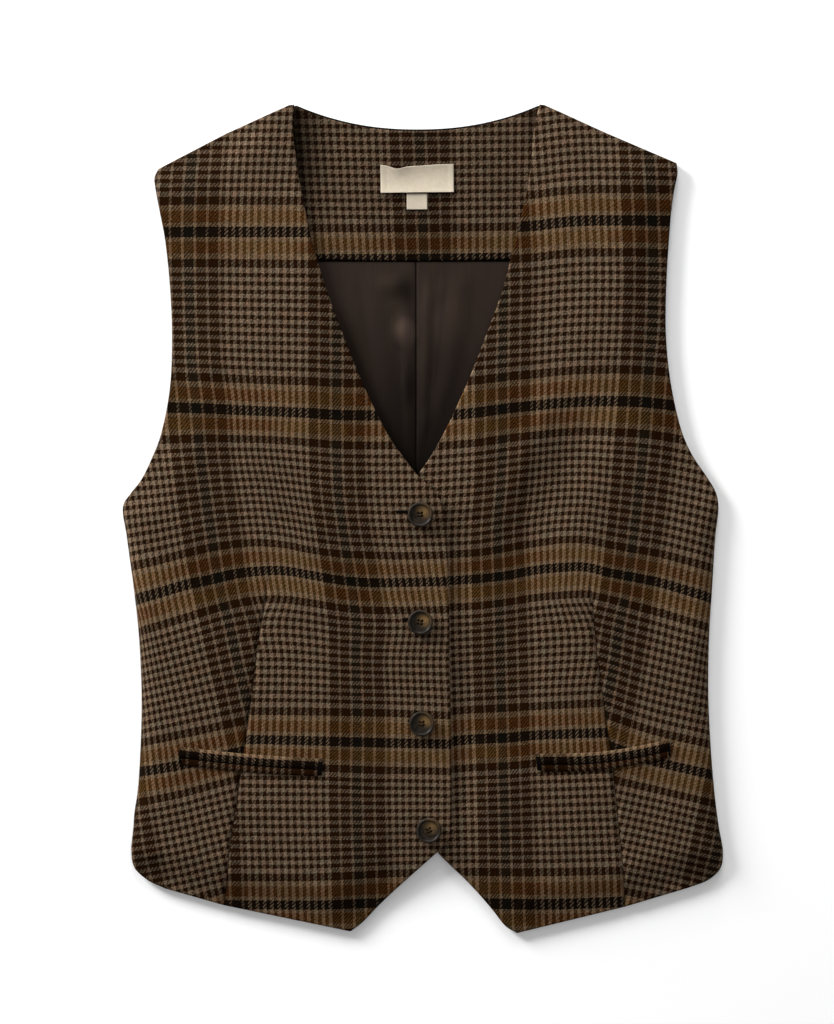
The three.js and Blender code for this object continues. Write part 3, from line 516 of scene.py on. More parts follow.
class Front:
    """One front: its paths, their sampled points and its outline."""

    def __init__(self, sections, folds, lies_on=None):
        self.sections = sections
        self.folds = folds
        self.lies_on = lies_on
        self.last = len(sections["rest"]) - 1
        places = np.arange(self.last * SAMPLES + 1) / SAMPLES
        self.samples = {part: (places, self.path(part, places)) for part in ("inner", "dart", "outer")}
        for name, place in (("hem", 0), ("shoulder", self.last)):
            ends = [self.path(part, [place])[0] for part in ("inner", "dart", "outer")]
            self.samples[name] = (np.arange(3.0), np.array(ends))
        self.outline = np.vstack([self.samples["inner"][1], self.samples["outer"][1][::-1]])

    def path(self, part, places):
        points = np.column_stack([self.sections[part + "_x"], self.sections[part + "_y"]])
        return curve_points(points, places)

    def column(self, name, places):
        return np.interp(places, np.arange(self.last + 1), self.sections[name])

    def wrinkles(self, at, edge):
        """Folds and slow swells, which die out at the cut edges."""
        swell = SWELL["height"] * np.sin(at[:, 0] / SWELL["length_x"] * 2 * np.pi + SWELL["phase_x"])
        swell = swell * np.cos(at[:, 1] / SWELL["length_y"] * 2 * np.pi + SWELL["phase_y"])
        return (fold_height(self.folds, at) + swell) * (1 - fall(edge / EDGE_REACH))

    def underside(self, at):
        """Height of the underside at each plan position."""
        inner_distance, inner_place = nearest(self.samples["inner"], at)
        outer_distance, outer_place = nearest(self.samples["outer"], at)
        hem_distance = nearest(self.samples["hem"], at)[0]
        shoulder_distance = nearest(self.samples["shoulder"], at)[0]
        rest = self.column("rest", inner_place)
        flat = self.column("flat", inner_place)
        roll = self.column("roll", outer_place)
        outer_rest = self.column("outer_rest", outer_place)
        shoulder_rest = mix(FIRST_LAYER, rest, fall((inner_distance - FACING_OVERLAP) / INNER_FALL))
        inner_share = fall((inner_distance - flat) / INNER_FALL)
        drops = np.array([
            np.maximum(CROWN - rest, 0) * inner_share,
            (CROWN - outer_rest) * (1 - roll) * fall(outer_distance / ARMHOLE_FALL),
            (CROWN - HEM_REST) * fall(hem_distance / HEM_FALL),
            (CROWN - shoulder_rest) * fall(shoulder_distance / SHOULDER_FALL),
        ])
        drop = np.minimum((drops ** FALL_SHARPNESS).sum(axis=0) ** (1 / FALL_SHARPNESS), CROWN - HEM_REST)
        height = CROWN - drop
        raised = np.maximum(height, mix(CROWN, rest, inner_share))
        height = np.where(rest > CROWN, raised, height)
        edge = np.minimum.reduce([inner_distance, outer_distance, hem_distance, shoulder_distance])
        height = height + self.wrinkles(at, edge)
        if self.lies_on is not None:
            over = is_inside(self.lies_on.outline, at)
            lifted = self.lies_on.underside(at[over]) + FRONT_WALL + SEAM_GAP
            height[over] = np.maximum(height[over], lifted)
        return height

    def laid(self, at):
        """Outer and inner heights clear of the side's roll, with turned edges and the dart."""
        edges = [nearest(self.samples[name], at)[0] for name in ("inner", "outer", "hem", "shoulder")]
        edge = np.minimum.reduce(edges)
        under = self.underside(at)
        return (
            under + FRONT_WALL - turned(edge, EDGE_TOP_RADIUS) - self.dart_drop(at),
            under + turned(edge, EDGE_UNDER_RADIUS),
        )

    def dart_drop(self, at):
        """How far the dart's seam draws the outer face in."""
        distance, place = nearest(self.samples["dart"], at)
        below = np.clip(DART_APEX_SECTION + DART_FADE - place, 0, 1)
        groove = SEAM_DEPTH * fall(distance / SEAM_HALF_WIDTH)
        return below * (DART_DEPTH * fall(distance / DART_HALF_WIDTH) + groove)


def turned(edge, radius):
    """How far a face curves away within a radius of the edge."""
    share = np.clip(1 - edge / radius, 0, 1)
    return radius * (1 - np.sqrt(1 - share * share))


left_front = Front(LEFT_SECTIONS, LEFT_FOLDS)
right_front = Front(RIGHT_SECTIONS, RIGHT_FOLDS, left_front)
FRONTS = {"right": right_front, "left": left_front}


def surface(front, plan):
    """Heights of a front's outer face at plan positions."""
    return front.underside(plan.reshape(-1, 2)).reshape(plan.shape[:-1]) + FRONT_WALL


def interp_beyond(x, xs, ys):
    """Straight lines between known points, going on beyond the first and last."""
    xs = np.asarray(xs, float)
    ys = np.asarray(ys, float)
    y = np.interp(x, xs, ys)
    first = (ys[1] - ys[0]) / (xs[1] - xs[0])
    last = (ys[-1] - ys[-2]) / (xs[-1] - xs[-2])
    y = np.where(x < xs[0], ys[0] + (x - xs[0]) * first, y)
    return np.where(x > xs[-1], ys[-1] + (x - xs[-1]) * last, y)


def between_levels(levels, values, at):
    """A smooth curve through each level's values, read at one position for each column."""
    levels = np.asarray(levels, float)
    slopes = np.gradient(values, levels, axis=0)
    index = np.clip(np.searchsorted(levels, at) - 1, 0, len(levels) - 2)
    column = np.arange(len(at))
    width = levels[index + 1] - levels[index]
    share = (at - levels[index]) / width
    held = np.clip(share, 0, 1)
    y0, y1 = values[index, column], values[index + 1, column]
    s0, s1 = slopes[index, column] * width, slopes[index + 1, column] * width
    return hermite(y0, y1, s0, s1, held) + (share - held) * np.where(share < 0, s0, s1)


def warp_at(lines, at_px):
    """Warp thread numbers at pixels, from lines read at several levels."""
    levels = [level for level, _ in lines]
    values = np.array([
        interp_beyond(at_px[:, 0], list(known.values()), list(known.keys())) for _, known in lines
    ])
    return between_levels(levels, values, at_px[:, 1])


def weft_at(lines, threads, at_px):
    """Weft thread numbers at pixels, from lines read at several stations."""
    stations = [station for station, _ in lines]
    values = np.array([interp_beyond(at_px[:, 1], known, threads) for _, known in lines])
    return between_levels(stations, values, at_px[:, 0])


def to_px(at):
    return np.column_stack([MIDDLE_PX[0] + at[:, 0] / PIXEL, MIDDLE_PX[1] - at[:, 1] / PIXEL])


def threads_of(upper, panel, weft, at):
    """Thread numbers of one panel of a front, which above the dart is the same in both panels."""
    at_px = to_px(at)
    split = upper[-1][0]
    warp = np.where(at_px[:, 1] < split, warp_at(upper, at_px), warp_at(panel, at_px))
    return np.column_stack([warp, weft_at(weft, WEFT_THREADS, at_px)])


# Meshes
middle = sum(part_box("button_1"), start=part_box("button_1")[0] * 0) / 2
SHIFT = np.array((middle.x * 1000 - BUTTONS[0][0], middle.y * 1000 - BUTTONS[0][1], 0))


def add_mesh(name, points, faces, materials, node=None):
    """A mesh object from points in millimetres, riding on the body."""
    mesh = bpy.data.meshes.new(name)
    moved = (np.asarray(points, float) + SHIFT) / 1000
    mesh.from_pydata(moved.tolist(), [], [list(map(int, face)) for face in faces])
    mesh.polygons.foreach_set("use_smooth", [True] * len(mesh.polygons))
    for material in materials:
        mesh.materials.append(material)
    piece = bpy.data.objects.new(name, mesh)
    bpy.context.scene.collection.objects.link(piece)
    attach(piece, "root")
    if node:
        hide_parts(node)
    return piece


def shell(name, outer, inner, threads, materials, node=None, split=None, faces_up=True):
    """A closed shell between two grids of points. threads holds one or two grids of thread
    numbers, and split is the column where the second takes over."""
    rows, columns = outer.shape[:2]
    points = np.vstack([outer.reshape(-1, 3), inner.reshape(-1, 3)])
    count = rows * columns
    row, column = (grid.ravel() for grid in np.mgrid[0:rows - 1, 0:columns - 1])
    a = row * columns + column
    quad = np.column_stack([a, a + 1, a + 1 + columns, a + columns])
    under = quad[:, ::-1] + count
    side = np.arange(rows - 1)
    start = side * columns
    end = start + columns - 1
    left = np.column_stack([start, start + columns, start + columns + count, start + count])
    right = np.column_stack([end, end + count, end + columns + count, end + columns])
    across = np.arange(columns - 1)
    top = across + (rows - 1) * columns
    foot = np.column_stack([across, across + count, across + 1 + count, across + 1])
    head = np.column_stack([top, top + 1, top + 1 + count, top + count])
    faces = np.vstack([quad, under, left, right, foot, head])
    if not faces_up:
        faces = faces[:, ::-1]
    cell_column = np.concatenate([
        column, column, np.zeros(rows - 1), np.full(rows - 1, columns), across, across,
    ])
    piece = add_mesh(name, points, faces, materials, node)
    first = np.vstack([threads[0].reshape(-1, 2)] * 2)
    second = np.vstack([threads[-1].reshape(-1, 2)] * 2)
    in_second = cell_column >= (split if split is not None else columns + 1)
    chosen = np.where(in_second[:, None, None], second[faces], first[faces])
    layer = piece.data.uv_layers.new(name="Threads")
    layer.data.foreach_set("uv", chosen.astype(np.float32).ravel())
    if len(materials) > 1:
        is_under = np.zeros(len(faces), int)
        is_under[len(quad):2 * len(quad)] = 1
        piece.data.polygons.foreach_set("material_index", is_under)
    return piece


def even_places(front):
    """Places of a front's rows, evenly apart, and closer at the turned ends."""
    fine = np.linspace(0, front.last, front.last * FINE_SAMPLES + 1)
    paths = (front.path(part, fine) for part in ("inner", "outer", "dart"))
    runs = [np.linalg.norm(np.diff(path, axis=0), axis=1) for path in paths]
    length = np.concatenate([[0], np.cumsum(np.max(runs, axis=0))])
    inside = np.arange(EDGE_STEPS[-1] + ROW_STEP, length[-1] - EDGE_STEPS[-1] - 1, ROW_STEP)
    steps = np.concatenate([EDGE_STEPS, inside, length[-1] - np.array(EDGE_STEPS)[::-1]])
    return np.interp(steps, length, fine)


def laid_faces(front, plan):
    """Outer and inner points of a front over a plan grid, laid clear of its roll."""
    heights = front.laid(plan.reshape(-1, 2))
    return [np.dstack([plan, height.reshape(plan.shape[:2])]) for height in heights]


def front_grid(front):
    """Plan positions and heights of a front's two faces, and the columns of its dart and roll."""
    places = even_places(front)
    inner, dart, outer = (front.path(part, places) for part in ("inner", "dart", "outer"))
    inner_run = np.linalg.norm(dart - inner, axis=1)[:, None]
    outer_run = np.linalg.norm(outer - dart, axis=1)[:, None]
    ones = np.ones((len(places), 1))
    near = np.array(DART_STEPS)
    shares = np.arange(1, INNER_LINES + 1)[None, :] / INNER_LINES
    from_inner = np.hstack([
        ones * np.array(EDGE_STEPS),
        mix(EDGE_STEPS[-1], inner_run - DART_HALF_WIDTH, shares),
        inner_run - near[::-1][1:],
        inner_run,
    ])
    shares = np.arange(1, OUTER_LINES)[None, :] / OUTER_LINES
    from_dart = np.hstack([
        ones * near,
        mix(DART_HALF_WIDTH, outer_run - ROLL_WIDTH, shares),
    ])
    inward = (inner - dart) / inner_run
    outward = (outer - dart) / outer_run
    plan = np.concatenate([
        inner[:, None] - inward[:, None] * from_inner[..., None],
        dart[:, None] + outward[:, None] * from_dart[..., None],
    ], axis=1)
    from_tip = np.linalg.norm(plan - inner[-1], axis=2)
    plan[..., 1] -= TIP["blunt"] * fall(from_tip / TIP["reach"])
    outer_face, inner_face = laid_faces(front, plan)
    roll = front.column("roll", places)[:, None, None]
    shoulder = outer - outward * ROLL_WIDTH
    rise = (front.underside(shoulder) - ROLL_FOOT)[:, None]
    angles = np.radians(np.linspace(90, 0, ROLL_STEPS))
    across = (1 - np.cos(angles))[None, :]
    up = np.sin(angles)[None, :]
    roll_plan = outer[:, None] - outward[:, None] * (ROLL_WIDTH * across)[..., None]
    laid_outer, laid_inner = laid_faces(front, roll_plan)
    rolled_outer = np.dstack([roll_plan, ROLL_FOOT + (rise + FRONT_WALL) * up])
    inner_across = FRONT_WALL + (ROLL_WIDTH - FRONT_WALL) * across
    inner_plan = outer[:, None] - outward[:, None] * inner_across[..., None]
    rolled_inner = np.dstack([inner_plan, ROLL_FOOT + rise * up])
    outer_face = np.concatenate([outer_face, mix(laid_outer, rolled_outer, roll)], axis=1)
    inner_face = np.concatenate([inner_face, mix(laid_inner, rolled_inner, roll)], axis=1)
    first_roll = plan.shape[1]
    lengths = np.linalg.norm(np.diff(outer_face[:, first_roll:], axis=1), axis=2)
    beyond = np.concatenate([np.zeros((len(places), 1)), np.cumsum(lengths, axis=1)], axis=1)
    cloth = outer_face[..., :2].copy()
    cloth[:, first_roll:] = outer_face[:, first_roll, None, :2] + outward[:, None] * beyond[..., None]
    return outer_face, inner_face, cloth, from_inner.shape[1] - 1


def colour(red, green, blue):
    """A colour given as display values from 0 to 255, made linear."""
    parts = [part / 255 for part in (red, green, blue)]
    return (*[part / 12.92 if part <= 0.04045 else ((part + 0.055) / 1.055) ** 2.4 for part in parts], 1)


class Nodes:
    """A material's node tree, built from short calls."""

    def __init__(self, name, **shader):
        self.material = bpy.data.materials.new(name)
        self.material.use_nodes = True
        self.tree = self.material.node_tree
        self.shader = self.tree.nodes["Principled BSDF"]
        for socket, value in shader.items():
            self.shader.inputs[socket.replace("_", " ")].default_value = value

    def node(self, kind, **settings):
        node = self.tree.nodes.new(kind)
        for key, value in settings.items():
            setattr(node, key, value)
        return node

    def put(self, socket, value):
        if isinstance(value, bpy.types.NodeSocket):
            self.tree.links.new(value, socket)
        else:
            socket.default_value = value

    def math(self, operation, a, b=0.0, c=0.0):
        node = self.node("ShaderNodeMath", operation=operation)
        for socket, value in zip(node.inputs, (a, b, c)):
            self.put(socket, value)
        return node.outputs[0]

    def times(self, first, *others):
        for other in others:
            first = self.math("MULTIPLY", first, other)
        return first

    def plus(self, a, b):
        return self.math("ADD", a, b)

    def minus(self, a, b):
        return self.math("SUBTRACT", a, b)

    def wrapped(self, value, length):
        return self.math("FLOORED_MODULO", value, length)

    def stretched(self, noise, low, high):
        """The middle of a noise, stretched to a range."""
        return self.range(noise, *NOISE_MIDDLE, low, high)

    def toned(self, base, tone):
        return self.mixed(1.0, base, self.join(tone, tone, tone), "MULTIPLY")

    def is_between(self, value, low, high):
        return self.times(self.math("GREATER_THAN", value, low), self.math("LESS_THAN", value, high))

    def mixed(self, share, a, b, blend="MIX"):
        node = self.node("ShaderNodeMix", data_type="RGBA", blend_type=blend)
        self.put(node.inputs["Factor"], share)
        self.put(node.inputs["A"], a)
        self.put(node.inputs["B"], b)
        return node.outputs["Result"]

    def noise(self, at, scale, detail=2.0, rough=0.5):
        node = self.node("ShaderNodeTexNoise")
        self.put(node.inputs["Vector"], at)
        node.inputs["Scale"].default_value = scale
        node.inputs["Detail"].default_value = detail
        node.inputs["Roughness"].default_value = rough
        return node.outputs["Fac"]

    def join(self, x, y, z=0.0):
        node = self.node("ShaderNodeCombineXYZ")
        for socket, value in zip(node.inputs, (x, y, z)):
            self.put(socket, value)
        return node.outputs[0]

    def range(self, value, low, high, to_low, to_high):
        node = self.node("ShaderNodeMapRange")
        for socket, number in zip(node.inputs, (value, low, high, to_low, to_high)):
            self.put(socket, number)
        return node.outputs[0]

    def uv(self, name):
        node = self.node("ShaderNodeUVMap", uv_map=name)
        parts = self.node("ShaderNodeSeparateXYZ")
        self.put(parts.inputs[0], node.outputs[0])
        return parts.outputs[0], parts.outputs[1]

    def object_place(self):
        return self.node("ShaderNodeTexCoord").outputs["Object"]

    def colour(self, value):
        self.put(self.shader.inputs["Base Color"], value)

    def bump(self, height, distance):
        node = self.node("ShaderNodeBump")
        node.inputs["Distance"].default_value = distance
        self.put(node.inputs["Height"], height)
        self.put(self.shader.inputs["Normal"], node.outputs[0])


def with_painted_light(n, u, v, painted_shades, tone):
    """A tone with painted shade and painted highlights in soft places."""
    for x, y, radius_x, radius_y, change in zip(*painted_shades.values()):
        across = n.math("MULTIPLY_ADD", u, 1 / radius_x, -x / radius_x)
        up = n.math("MULTIPLY_ADD", v, 1 / radius_y, -y / radius_y)
        far = n.plus(n.times(across, across), n.times(up, up))
        near = n.range(far, 0, 1, 1, 0)
        share = n.times(near, near)
        tone = n.times(tone, n.math("MULTIPLY_ADD", share, change, 1))
    return tone


# Yarn colours
TAN = colour(111, 89, 71)
GREY_TAN = colour(106, 93, 76)
DARK_BROWN = colour(25, 10, 2)
GREEN_BLACK = colour(13, 14, 10)
RUST = colour(82, 48, 21)
OCHRE = colour(94, 68, 35)
BORDER_TAN = colour(112, 84, 48)
BLACK = colour(8, 7, 6)

# The check, in threads. Each warp repeat starts with the broad stripes, each dark with a light line
# at its right. Narrow stripes fill the rest.
WARP_REPEAT = 166
BROAD_STRIPES = {"run": 70, "step": 14, "dark": 11, "light": 0.66}
GREEN_STRIPE = (28, 38)
NARROW_STEP = 8
# The weft counts from the middle of a black band, which has rust on both sides and dark edges
WEFT_REPEAT = 170
BAND = {"black": 5, "rust": (9, 20.5), "border": (5, 26), "edge": (26, 34), "end": 39}
BORDER_SHARE = 0.4
# Two and two twill: the warp lies over where a thread's step is under the limit
TWILL = 4
WARP_OVER = 1.5

# How much of the warp shows where it lies under the weft and where it lies over: in most of the
# check, in the broad dark stripes and in the black bands
MILLED = (0.2, 0.7)
BROAD = (0.32, 0.88)
BANDED = (0.03, 0.62)
# How much a light yarn loses where it crosses a dark one
CROSSING_LOSS = 0.24
# How far threads stray from their lines, and the tones of uneven spinning, flecks and slow change
STRAY = {"scale": 0.6, "reach": 0.9}
SPIN = {"apart": 7.31, "along": 0.16, "tones": (0.66, 1.34)}
FLECK_TONES = (0.46, 1.62)
SLOW_TONES = (0.93, 1.07)
NAP_BUMP = 0.00022
# The part of a noise that most of the surface takes
NOISE_MIDDLE = (0.3, 0.7)


def check_cloth(name, low, high, painted_shades):
    """Woollen twill: a check of five broad stripes and twelve narrow ones, with rust and black
    bands across. low and high are the painted shade between the yarns and the painted light on their crowns."""
    n = Nodes(
        name, Roughness=0.95, Sheen_Weight=0.012, Sheen_Roughness=0.45, Sheen_Tint=colour(210, 160, 105),
        Specular_Tint=colour(255, 205, 140), Specular_IOR_Level=0.04,
    )
    u, v = n.uv("Threads")
    place = n.join(u, v)
    reach = STRAY["reach"]
    noises = [n.noise(at, STRAY["scale"]) for at in (place, n.join(v, u, 3.0))]
    stray, other = (n.math("MULTIPLY_ADD", noise, 2 * reach, -reach) for noise in noises)
    i, j = n.plus(u, stray), n.plus(v, other)
    warp = n.wrapped(i, WARP_REPEAT)
    run = BROAD_STRIPES["run"]
    broad = n.math("LESS_THAN", warp, run)
    light_broad = n.math("GREATER_THAN", n.wrapped(warp, BROAD_STRIPES["step"]), BROAD_STRIPES["dark"])
    light_narrow = n.math("GREATER_THAN", n.wrapped(n.minus(warp, run), NARROW_STEP), NARROW_STEP / 2)
    light_broad = n.times(broad, light_broad, BROAD_STRIPES["light"])
    light = n.plus(light_broad, n.times(n.minus(1, broad), light_narrow))
    tan = n.mixed(n.range(n.noise(place, 0.09), 0.35, 0.65, 0.0, 1.0), TAN, GREY_TAN)
    warp_colour = n.mixed(light, DARK_BROWN, tan)
    warp_colour = n.mixed(n.is_between(warp, *GREEN_STRIPE), warp_colour, GREEN_BLACK)
    half = WEFT_REPEAT / 2
    away = n.math("ABSOLUTE", n.minus(n.wrapped(n.plus(j, half), WEFT_REPEAT), half))
    past = n.wrapped(n.minus(away, BAND["end"]), NARROW_STEP)
    narrow = n.times(n.math("GREATER_THAN", away, BAND["end"]), n.math("LESS_THAN", past, NARROW_STEP / 2))
    dark = n.math("MAXIMUM", narrow, n.is_between(away, *BAND["edge"]))
    border = n.times(n.is_between(away, *BAND["border"]), BORDER_SHARE)
    weft_colour = n.mixed(dark, n.mixed(border, tan, BORDER_TAN), DARK_BROWN)
    patches = n.noise(n.join(n.times(u, 0.012), n.times(v, 0.01)), 1.0, 1)
    rust = n.mixed(n.range(patches, 0.4, 0.6, 0.0, 0.9), RUST, OCHRE)
    weft_colour = n.mixed(n.is_between(away, *BAND["rust"]), weft_colour, rust)
    black = n.math("LESS_THAN", away, BAND["black"])
    weft_colour = n.mixed(black, weft_colour, BLACK)
    end, pick = n.math("FLOOR", i), n.math("FLOOR", j)
    warp_up = n.math("LESS_THAN", n.wrapped(n.minus(end, pick), TWILL), WARP_OVER)
    milled, dense, banded = (n.range(warp_up, 0, 1, *shares) for shares in (MILLED, BROAD, BANDED))
    is_dense = n.times(broad, n.math("LESS_THAN", light, 0.5))
    shown = n.math("MULTIPLY_ADD", n.minus(dense, milled), is_dense, milled)
    shown = n.math("MULTIPLY_ADD", n.minus(banded, shown), black, shown)
    cloth = n.mixed(shown, weft_colour, warp_colour)

    def of_upper(on_warp, on_weft):
        return n.plus(n.times(warp_up, on_warp), n.times(n.minus(1, warp_up), on_weft))

    def crown_of(across, along):
        """A yarn is round and dips at the ends of its float."""
        ends = n.math("MULTIPLY_ADD", n.math("SINE", n.times(along, math.pi / 2)), 0.6, 0.4)
        return n.times(n.math("SQRT", n.math("PINGPONG", n.times(across, 2), 1)), ends)

    float_warp = n.wrapped(n.plus(n.minus(end, j), 1), TWILL)
    float_weft = n.minus(n.wrapped(n.minus(i, pick), TWILL), TWILL / 2)
    crown = n.math("MAXIMUM", of_upper(crown_of(i, float_warp), crown_of(j, float_weft)), 0)
    apart, along = SPIN["apart"], SPIN["along"]
    warp_spin = n.noise(n.join(n.times(end, apart), n.times(j, along)), 1.0, 1)
    weft_spin = n.noise(n.join(n.times(i, along), n.times(pick, apart)), 1.0, 1)
    crossing = n.math("ABSOLUTE", n.minus(n.plus(light, dark), 1))
    # The tone holds uneven spinning, flecks and slow change, and painted shade between the yarns with painted
    # light on their crowns
    tone = n.times(
        n.stretched(of_upper(warp_spin, weft_spin), *SPIN["tones"]),
        n.stretched(n.noise(place, 0.85, 2, 0.6), *FLECK_TONES),
        n.stretched(n.noise(place, 0.012), *SLOW_TONES),
        n.math("MULTIPLY_ADD", crossing, -CROSSING_LOSS, 1),
        n.range(crown, 0, 0.9, low, high),
    )
    # Painted shade and painted light in the soft places of a table, where one is given
    n.colour(n.toned(cloth, with_painted_light(n, u, v, painted_shades, tone)))
    fuzz = n.noise(place, 2.3, 2, 0.7)
    n.bump(n.math("MULTIPLY_ADD", fuzz, 0.5, crown), NAP_BUMP)
    return n.material


def painted_shade_cloth():
    """Painted shade: the same twill in its dark ends only, for the pocket mouths and the back's edge that
    shows at the neck.
    """
    n = Nodes("painted shade cloth", Roughness=0.95, Specular_IOR_Level=0.04)
    u, v = n.uv("Threads")
    up = n.math("LESS_THAN", n.wrapped(n.minus(n.math("FLOOR", u), n.math("FLOOR", v)), TWILL), WARP_OVER)
    grain = n.noise(n.join(u, v), 0.9, 2, 0.6)
    n.colour(n.mixed(n.times(up, n.range(grain, 0.4, 0.7, 0.0, 0.6)), BLACK, DARK_BROWN))
    n.bump(n.plus(n.times(up, 0.6), grain), 0.00018)
    return n.material


def satin():
    """Dark brown satin with a soft sheen, with painted shade toward the point and under the facing's edge,
    painted shade and painted highlights in soft places, and darker along the seam.
    """
    n = Nodes(
        "lining satin", Roughness=0.6, Anisotropic=0.2, Specular_IOR_Level=0.08,
        Specular_Tint=colour(255, 226, 208),
    )
    u, v = n.uv("Threads")
    streak = n.noise(n.join(n.times(u, 0.9), n.times(v, 0.03)), 1.0, 3, 0.6)
    slow = n.noise(n.join(n.times(u, 0.05), n.times(v, 0.015)), 1.0)
    base = n.mixed(n.stretched(slow, 0.0, 1.0), colour(36, 28, 26), colour(40, 32, 25))
    base = n.mixed(n.stretched(streak, 0.0, 0.32), base, colour(25, 18, 15))
    # Painted shade toward the point and under the facing's edge, painted shade and highlights in soft places,
    # and a darker line along the seam
    seam = n.math("ABSOLUTE", n.minus(u, LINING_SEAM_X))
    painted_light_shade_and_seam = with_painted_light(n, u, v, LINING_PAINTED_SHADE_AND_LIGHT, n.range(v, *LINING_PAINTED_SHADE_AND_SEAM["point"]))
    painted_light_shade_and_seam = n.times(painted_light_shade_and_seam, n.range(seam, *LINING_PAINTED_SHADE_AND_SEAM["seam"]), n.range(v, *LINING_PAINTED_SHADE_AND_SEAM["top"]))
    n.colour(n.toned(base, painted_light_shade_and_seam))
    n.bump(n.math("MULTIPLY_ADD", n.noise(n.join(u, v), 1.5), 0.3, streak), 0.00004)
    return n.material


def ivory_tape():
    """Ivory woven tape with fine ribs across."""
    n = Nodes("label tape", Roughness=0.75, Sheen_Weight=0.05, Sheen_Roughness=0.4, Specular_IOR_Level=0.2)
    u, v = n.uv("Threads")
    rib, thread = (n.math("SINE", n.times(at, 2 * math.pi / pitch)) for at, pitch in ((v, 0.5), (u, 0.35)))
    weave = n.times(rib, thread)
    blotch = n.noise(n.join(u, v), 0.22, 3, 0.6)
    grain = n.noise(n.join(u, v), 2.4, 2, 0.7)
    base = n.mixed(n.stretched(blotch, 0.0, 1.0), colour(176, 164, 145), colour(184, 173, 154))
    shade = n.times(n.range(grain, 0.25, 0.75, 0.88, 1.08), n.range(weave, -1, 1, 0.94, 1.04))
    n.colour(n.toned(base, shade))
    n.bump(n.plus(n.times(weave, 0.5), grain), 0.00008)
    return n.material


def horn():
    """Dark clouded horn with an olive patch, a dark groove and a smooth rim."""
    n = Nodes("button horn", Roughness=0.42, Specular_IOR_Level=0.07)
    u, v = n.uv("Disc")
    place = n.object_place()
    cloud = n.noise(place, 260, 4, 0.62)
    base = n.mixed(n.range(cloud, 0.35, 0.65, 0.0, 1.0), colour(17, 14, 10), colour(40, 34, 27))

    def length(x, y):
        return n.math("SQRT", n.plus(n.times(x, x), n.times(y, y)))

    far = length(n.minus(u, HORN_PATCH[0]), n.minus(v, HORN_PATCH[1]))
    patch = n.range(n.math("MULTIPLY_ADD", n.minus(cloud, 0.5), 0.7, far), 0.05, 0.72, 0.95, 0.0)
    base = n.mixed(patch, base, colour(106, 82, 51))
    out = length(u, v)
    base = n.mixed(n.times(n.is_between(out, *HORN_GROOVE), 0.7), base, colour(9, 8, 7))
    n.colour(n.mixed(n.times(n.is_between(out, *HORN_RIM), 0.15), base, colour(48, 42, 36)))
    n.bump(n.plus(cloud, n.times(n.noise(place, 1500, 2, 0.6), 0.5)), 0.00006)
    return n.material


def thread_material(name, tint):
    n = Nodes(name, Roughness=0.8, Specular_IOR_Level=0.03)
    twist = n.noise(n.object_place(), 2600, 2, 0.6)
    n.colour(n.mixed(n.stretched(twist, 0.0, 1.0), tint, (*[part * 0.45 for part in tint[:3]], 1)))
    n.bump(twist, 0.0001)
    return n.material


def pale_floor():
    n = Nodes("pale floor", Roughness=0.9, Specular_IOR_Level=0.1)
    slow = n.noise(n.object_place(), 3)
    n.colour(n.mixed(slow, (0.95, 0.95, 0.95, 1), (0.97, 0.97, 0.97, 1)))
    return n.material


CHECK = check_cloth("check cloth", 0.33, 1.2, {})
# A shaded copy of the check cloth for the facing: painted darker overall, with painted shade where it goes
# down under the fronts
SHADED_FACING_CHECK = check_cloth("shaded facing cloth", 0.2, 1.04, FACING_PAINTED_SHADE)
PAINTED_SHADE_TWILL = painted_shade_cloth()
SATIN = satin()
TAPE = ivory_tape()
HORN = horn()
BUTTON_THREAD = thread_material("button thread", colour(22, 16, 11))
BLACK_THREAD = thread_material("black thread", colour(8, 6, 5))


# Fronts
def build_front(name, node, front, upper, centre, side, weft_centre, weft_side, faces_up):
    outer, inner, cloth, dart_column = front_grid(front)
    at = cloth.reshape(-1, 2)
    grids = [
        threads_of(upper, panel, weft, at).reshape(*cloth.shape)
        for panel, weft in ((centre, weft_centre), (side, weft_side))
    ]
    return shell(name, outer, inner, grids, [CHECK, SATIN], node, dart_column, faces_up)


front_right = build_front(
    "front_right_cloth", "front_right", right_front, RIGHT_WARP_UPPER, RIGHT_WARP_CENTRE,
    RIGHT_WARP_SIDE, RIGHT_WEFT_CENTRE, RIGHT_WEFT_SIDE, False,
)
front_left = build_front(
    "front_left_cloth", "front_left", left_front, LEFT_WARP_UPPER, LEFT_WARP_CENTRE,
    LEFT_WARP_SIDE, LEFT_WEFT_CENTRE, LEFT_WEFT_SIDE, True,
)


# Back, facing and lining
def neck_line(x):
    half = (NECK["right_x"] - NECK["left_x"]) / 2
    centre = (NECK["left_x"] + NECK["right_x"]) / 2
    rise = NECK["point_y"] - NECK["middle_y"]
    return NECK["middle_y"] + rise * np.abs((x - centre) / half) ** NECK["hollow"]


def back_side(front, places):
    seam = front.path("outer", places)
    inward = front.path("dart", places) - seam
    inward /= np.linalg.norm(inward, axis=1)[:, None]
    inset = BACK_INSET["laid"] + BACK_INSET["rolled"] * front.column("roll", places)
    return seam + inward * inset[:, None]


def rounded_wall(plan, low, thick, radius):
    """Two faces over a plan grid, with rounded edges all round."""
    edge = np.full(plan.shape[:2], np.inf)
    flat = plan.reshape(-1, 2)
    for line in (plan[0], plan[-1], plan[:, 0], plan[:, -1]):
        distance = nearest((np.arange(len(line), dtype=float), line), flat)[0]
        edge = np.minimum(edge, distance.reshape(edge.shape))
    bend = turned(edge, radius)
    return np.dstack([plan, low + thick - bend]), np.dstack([plan, low + bend])


def spread(count, length, edge=1.4):
    """Shares from 0 to 1, evenly apart, with three closer ones at each end for the turned edge."""
    ends = np.array((0, 0.12, 0.45, 1)) * edge / length
    return np.concatenate([ends, np.linspace(0, 1, count)[1:-1], 1 - ends[::-1]])


